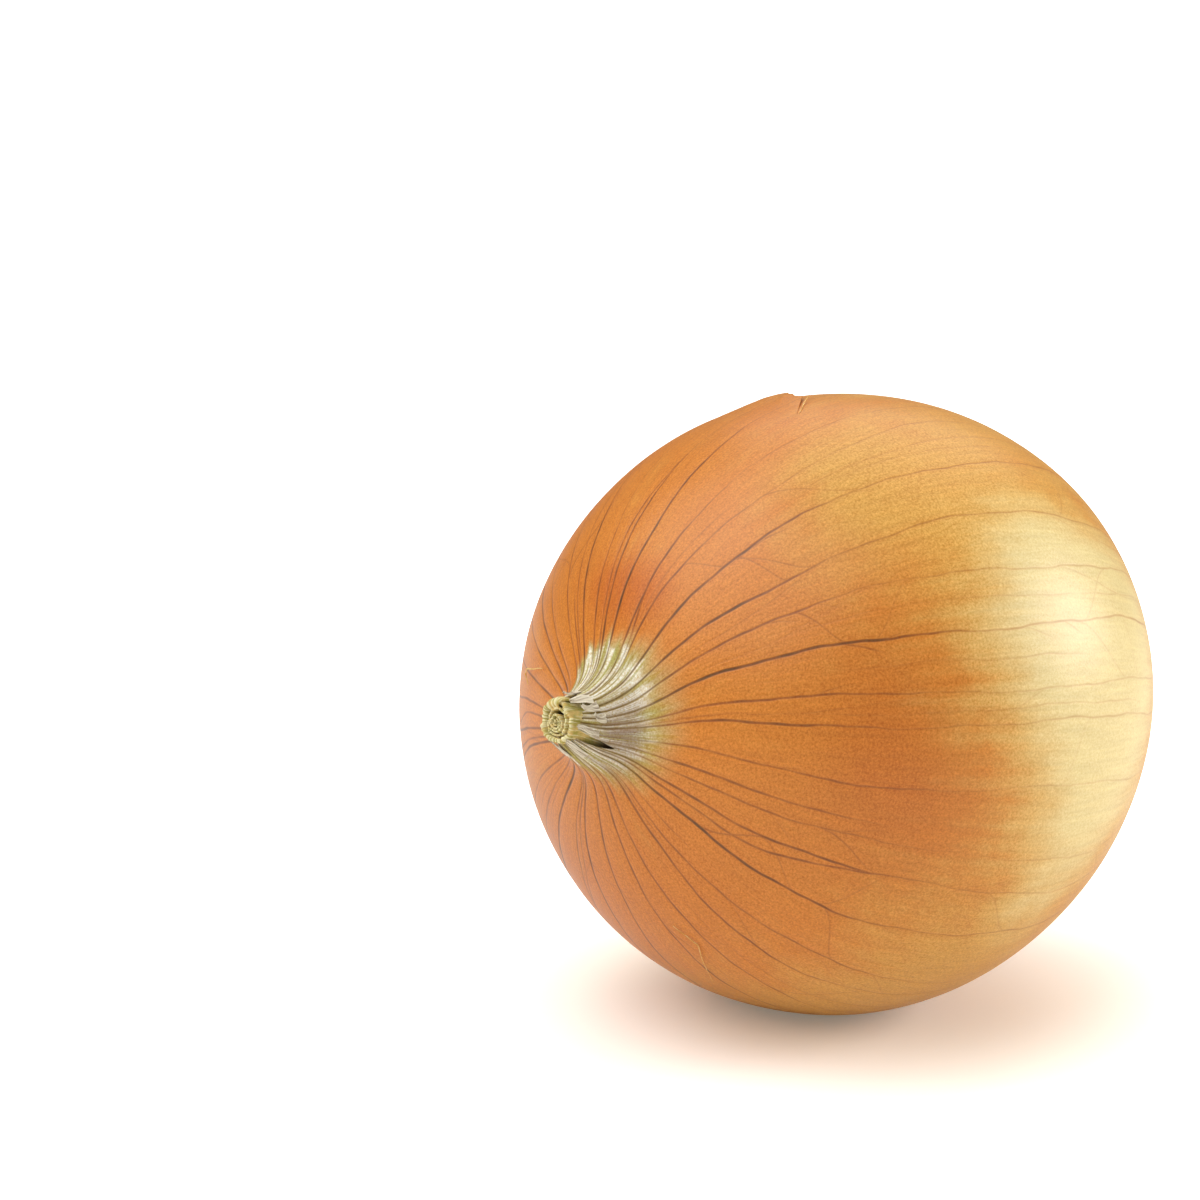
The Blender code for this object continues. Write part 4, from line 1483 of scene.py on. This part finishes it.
# %% Curl the torn flakes round the plate
FLAKES = 22
FLAKE_THICKNESS = 0.09
FLAKE_SEED = 19
FLAKE_WIDTHS = (17, 30)
FLAKE_FEET = (8.6, 9.6)
FLAKE_TIPS = (6.4, 7.3)
FLAKE_DROPS = (0.5, 1.1)

base_polars = np.linspace(math.pi, math.pi - 0.5, 400)
base_radii = skin_distance(base_polars) * np.sin(base_polars)
base_levels = skin_distance(base_polars) * np.cos(base_polars)
flake_draw = random.Random(FLAKE_SEED)
flakes = []
for number in range(FLAKES):
    middle = 360 * number / FLAKES + flake_draw.uniform(-6, 6)
    width = flake_draw.uniform(*FLAKE_WIDTHS)
    foot = flake_draw.uniform(*FLAKE_FEET)
    tip = flake_draw.uniform(*FLAKE_TIPS)
    drop = flake_draw.uniform(*FLAKE_DROPS)
    path = (
        (foot, np.interp(foot, base_radii, base_levels) - 0.02),
        (8.2, np.interp(8.2, base_radii, base_levels) - 0.18),
        (7.6, seat_level - 0.35 - 0.3 * drop),
        (tip, seat_level - drop),
    )
    flakes.append(sheet_on_neck("flake", middle, width, path, FLAKE_THICKNESS, narrowing=0.55))
root_flakes = join_as("root_flakes", flakes)
lay_down(root_flakes)
bpy.ops.object.shade_smooth_by_angle(angle=SHEET_SMOOTH)
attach(root_flakes, "root")
print(FLAKES, "flakes")

# %% [markdown]
# How far out a root reaches is stored before the piece is laid down, while that is still simply
# its height. Plate and roots together are shown instead of the CAD root tuft.

# %% Lay the root end down
for piece in (root_plate, dry_roots):
    angle, radius, height = tube_polar(mesh_places(piece))
    store(piece.data, "out_mm", "FLOAT", "POINT", seat_level - height)
    lay_down(piece)
    bpy.ops.object.shade_smooth_by_angle(angle=SHEET_SMOOTH)
    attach(piece, "root")
    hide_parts("root_tuft")
    print(piece.name, "stands for the CAD root tuft")

# %% [markdown]
# The plate is corky: light brown with paler patches and dark pits. The roots are straw where they leave
# it and grey-brown towards their cut ends.

# %% Build the cork material
PIT_MM = 0.7
CRUST_MM = 2.2
CORK_BROWN = "#8C6A42"
CORK_PALE = "#B4946A"
CORK_PIT = "#4B3220"

plate_material, tree, shader = new_material("corky base plate")
here = add_node(tree, "TexCoord").outputs["Object"]
pit_inputs = {"Vector": here, "Scale": 1 / (PIT_MM * MM), "Detail": 4, "Roughness": 0.65}
pits = add_node(tree, "TexNoise", pit_inputs)
crust = add_node(tree, "TexNoise", {"Vector": here, "Scale": 1 / (CRUST_MM * MM), "Detail": 3})
colour = stained(tree, CORK_BROWN, crust, CORK_PALE, low=0.35, high=0.65, change="LINEAR")
colour = stained(tree, colour, pits, CORK_PIT, low=0.52, high=0.68, change="LINEAR")
finish_surface(tree, shader, colour, 0.9, pits, strength=0.8, depth_mm=0.25)
root_plate.data.materials.append(plate_material)
print("the cork material has", len(tree.nodes), "nodes")

# %% [markdown]
# Skin that has torn and weathered by the roots is browner than the tunic, and dull.

# %% Build the flakes' material
FLAKE_BROWN = "#A8733A"
FLAKE_PALE = "#D2A868"
FLAKE_TONE_MM = 0.9

flake_material, tree, shader = new_material("torn skin, brown and papery")
here = add_node(tree, "TexCoord").outputs["Object"]
tone_inputs = {"Vector": here, "Scale": 1 / (FLAKE_TONE_MM * MM), "Detail": 4}
flake_tone = add_node(tree, "TexNoise", tone_inputs)
tones = {"low": 0.38, "high": 0.62, "change": "LINEAR"}
colour = stained(tree, FLAKE_BROWN, flake_tone, FLAKE_PALE, **tones)
finish_surface(tree, shader, colour, 0.6, flake_tone, strength=0.5, depth_mm=0.1)
root_flakes.data.materials.append(flake_material)
print("the flakes' material has", len(tree.nodes), "nodes")

# %% [markdown]
# A root is straw where it leaves the plate and grey-brown at its cut end, with dark spots.

# %% Build the root material
ROOT_TONE_MM = 0.8
ROOT_STRAW = "#CDB27E"
ROOT_BROWN = "#94754C"
ROOT_DARK = "#6B4C2C"

root_material, tree, shader = new_material("dry root, wiry")
here = add_node(tree, "TexCoord").outputs["Object"]
out_mm = add_node(tree, "Attribute", attribute_name="out_mm").outputs["Fac"]
tone_inputs = {"Vector": here, "Scale": 1 / (ROOT_TONE_MM * MM), "Detail": 3}
root_tone = add_node(tree, "TexNoise", tone_inputs)
colour = stained(tree, ROOT_STRAW, out_mm, ROOT_BROWN, low=0.5, high=5.0, change="LINEAR")
colour = stained(tree, colour, root_tone, ROOT_DARK, low=0.5, high=0.72, change="LINEAR")
finish_surface(tree, shader, colour, 0.8, root_tone, strength=0.6, depth_mm=0.15)
dry_roots.data.materials.append(root_material)
print("the root material has", len(tree.nodes), "nodes")

# %% [markdown]
# ## The floor, the light and the camera
# A plain white table under soft studio light shows the skin best. A soft light stands at the
# right and a little above, and its reflection is the broad pale highlight. White all round
# fills the rest. The camera looks down a little from the neck's side. Far out, the table top
# glows as white as the room for the eye, so that no horizon shows. Near the onion that glow is
# weak and warm, like the light that the orange skin throws into its own shadow.

# %% Lay the floor
FLOOR_SIZE = 40.0
TABLE_WHITE = "#F8F5F1"
GLOW_NEAR = 0.20
GLOW_FAR = 1.0
GLOW_FROM = 0.022
GLOW_TO = 0.075
GLOW_WARM = "#FFEFD8"

bpy.ops.object.select_all(action="DESELECT")
bpy.ops.mesh.primitive_plane_add(size=FLOOR_SIZE)
floor = keep_as("floor")
floor_material, tree, shader = new_material("matt white table top")
shader.inputs["Base Color"].default_value = linear(TABLE_WHITE)
shader.inputs["Roughness"].default_value = 0.9
shader.inputs["Specular IOR Level"].default_value = 0.2
here = add_node(tree, "TexCoord").outputs["Object"]
from_middle = add_node(tree, "VectorMath", {0: here}, operation="LENGTH").outputs["Value"]
far_range = {"Value": from_middle, "From Min": GLOW_FROM, "From Max": GLOW_TO}
far_share = add_node(tree, "MapRange", far_range, interpolation_type="SMOOTHSTEP")
glow_range = {"Value": far_share, "To Min": GLOW_NEAR, "To Max": GLOW_FAR}
glow = add_node(tree, "MapRange", glow_range)
seen = add_node(tree, "LightPath").outputs["Is Camera Ray"]
seen_glow = add_node(tree, "Math", {0: glow, 1: seen}, operation="MULTIPLY")
tree.links.new(seen_glow.outputs[0], shader.inputs["Emission Strength"])
glow_colour = stained(tree, GLOW_WARM, far_share, "#FFFFFF", change="LINEAR")
tree.links.new(glow_colour, shader.inputs["Emission Color"])
floor.data.materials.append(floor_material)
print("the floor is", FLOOR_SIZE, "m wide")

# %% [markdown]
# The camera is aimed by where the bulb's centre is in the picture, and by the angle at which the
# neck is seen. A long lens keeps the form from looking swollen.

# %% Aim the camera
PHOTO_SIDE = 1200
BULB_IN_PHOTO = (834, 702)
LENS = 100.0
SENSOR = 36.0
CAMERA_DISTANCE = 0.427
CAMERA_AZIMUTH = math.radians(-39.7)
CAMERA_ELEVATION = math.radians(12)

back = Vector((
    math.sin(CAMERA_AZIMUTH) * math.cos(CAMERA_ELEVATION),
    -math.cos(CAMERA_AZIMUTH) * math.cos(CAMERA_ELEVATION),
    math.sin(CAMERA_ELEVATION),
))
right = Vector((math.cos(CAMERA_AZIMUTH), math.sin(CAMERA_AZIMUTH), 0.0))
upward = back.cross(right)
metres_a_pixel = CAMERA_DISTANCE * SENSOR / LENS / PHOTO_SIDE
across = (BULB_IN_PHOTO[0] - PHOTO_SIDE / 2) * metres_a_pixel
above = (PHOTO_SIDE / 2 - BULB_IN_PHOTO[1]) * metres_a_pixel
bpy.ops.object.camera_add()
camera = bpy.context.object
camera.name = "camera"
camera.data.lens = LENS
camera.data.sensor_width = SENSOR
camera.rotation_euler = Matrix((right, upward, back)).transposed().to_euler()
camera.location = BULB_CENTRE + back * CAMERA_DISTANCE - right * across - upward * above
bpy.context.scene.camera = camera
print("the camera is at", tuple(round(value, 4) for value in camera.location))

# %% [markdown]
# Big square lights close by give soft edges to light and shadow. The key light stands behind the
# photographer's shoulder, the right one makes the highlight, and two more light the upper edge.
# A light is given as its name, its direction, its distance and its size in metres, and its watts.

# %% Light the studio
SOFTBOXES = (
    ("key softbox", back * 0.75 - right * 0.60 + upward * 0.95, 0.9, 0.9, 4.7),
    ("right softbox", right * 0.93 + upward * 0.30 - back * 0.01, 0.55, 0.24, 1.75),
    ("top softbox", upward * 1.0 - back * 0.45 + right * 0.15, 0.9, 0.8, 2.4),
    ("left softbox", upward * 1.0 - right * 0.72 + back * 0.05, 0.6, 0.45, 1.2),
)


def softbox(name, way, distance, size, power):
    """A square soft light that stands in a direction from the bulb and faces it."""
    bpy.ops.object.light_add(type="AREA")
    light = bpy.context.object
    light.name = name
    light.data.shape = "SQUARE"
    light.data.size = size
    light.data.energy = power
    way = way.normalized()
    light.location = BULB_CENTRE + way * distance
    light.rotation_euler = way.to_track_quat("Z", "Y").to_euler()


for settings in SOFTBOXES:
    softbox(*settings)
print("the lights are", [settings[0] for settings in SOFTBOXES])

# %% [markdown]
# The room is a world that is bright above the photographer and dimmer behind the onion. Were
# it white behind, the skin's edge would mirror it and turn pale. The eye sees plain white
# behind the onion from every side, so rays straight from the camera get white.

# %% Set up the white room
ROOM_WHITE = 1.05
ROOM_BRIGHT = 0.38
ROOM_DIM = 0.14
DIM_UNTIL = -0.5
BRIGHT_FROM = 0.9
BRIGHT_WAY = (back + Vector((0, 0, 0.6))).normalized()

world = bpy.data.worlds.new("white studio")
world.use_nodes = True
tree = world.node_tree
way = add_node(tree, "TexCoord").outputs["Generated"]
bright_inputs = {0: way, 1: tuple(BRIGHT_WAY)}
toward = add_node(tree, "VectorMath", bright_inputs, operation="DOT_PRODUCT").outputs["Value"]
room_range = {
    "Value": toward,
    "From Min": DIM_UNTIL,
    "From Max": BRIGHT_FROM,
    "To Min": ROOM_DIM,
    "To Max": ROOM_BRIGHT,
}
room = add_node(tree, "MapRange", room_range, interpolation_type="SMOOTHSTEP")
seen = add_node(tree, "LightPath").outputs["Is Camera Ray"]
seen_white = add_node(tree, "Math", {0: seen, 1: ROOM_WHITE}, operation="MULTIPLY")
strength = add_node(tree, "Math", {0: room, 1: seen_white}, operation="MAXIMUM")
tree.links.new(strength.outputs[0], tree.nodes["Background"].inputs["Strength"])
tree.nodes["Background"].inputs["Color"].default_value = (1.0, 1.0, 1.0, 1.0)
bpy.context.scene.world = world
bpy.context.scene.view_settings.view_transform = "Standard"
print("the room's brightness is", ROOM_DIM, "to", ROOM_BRIGHT)
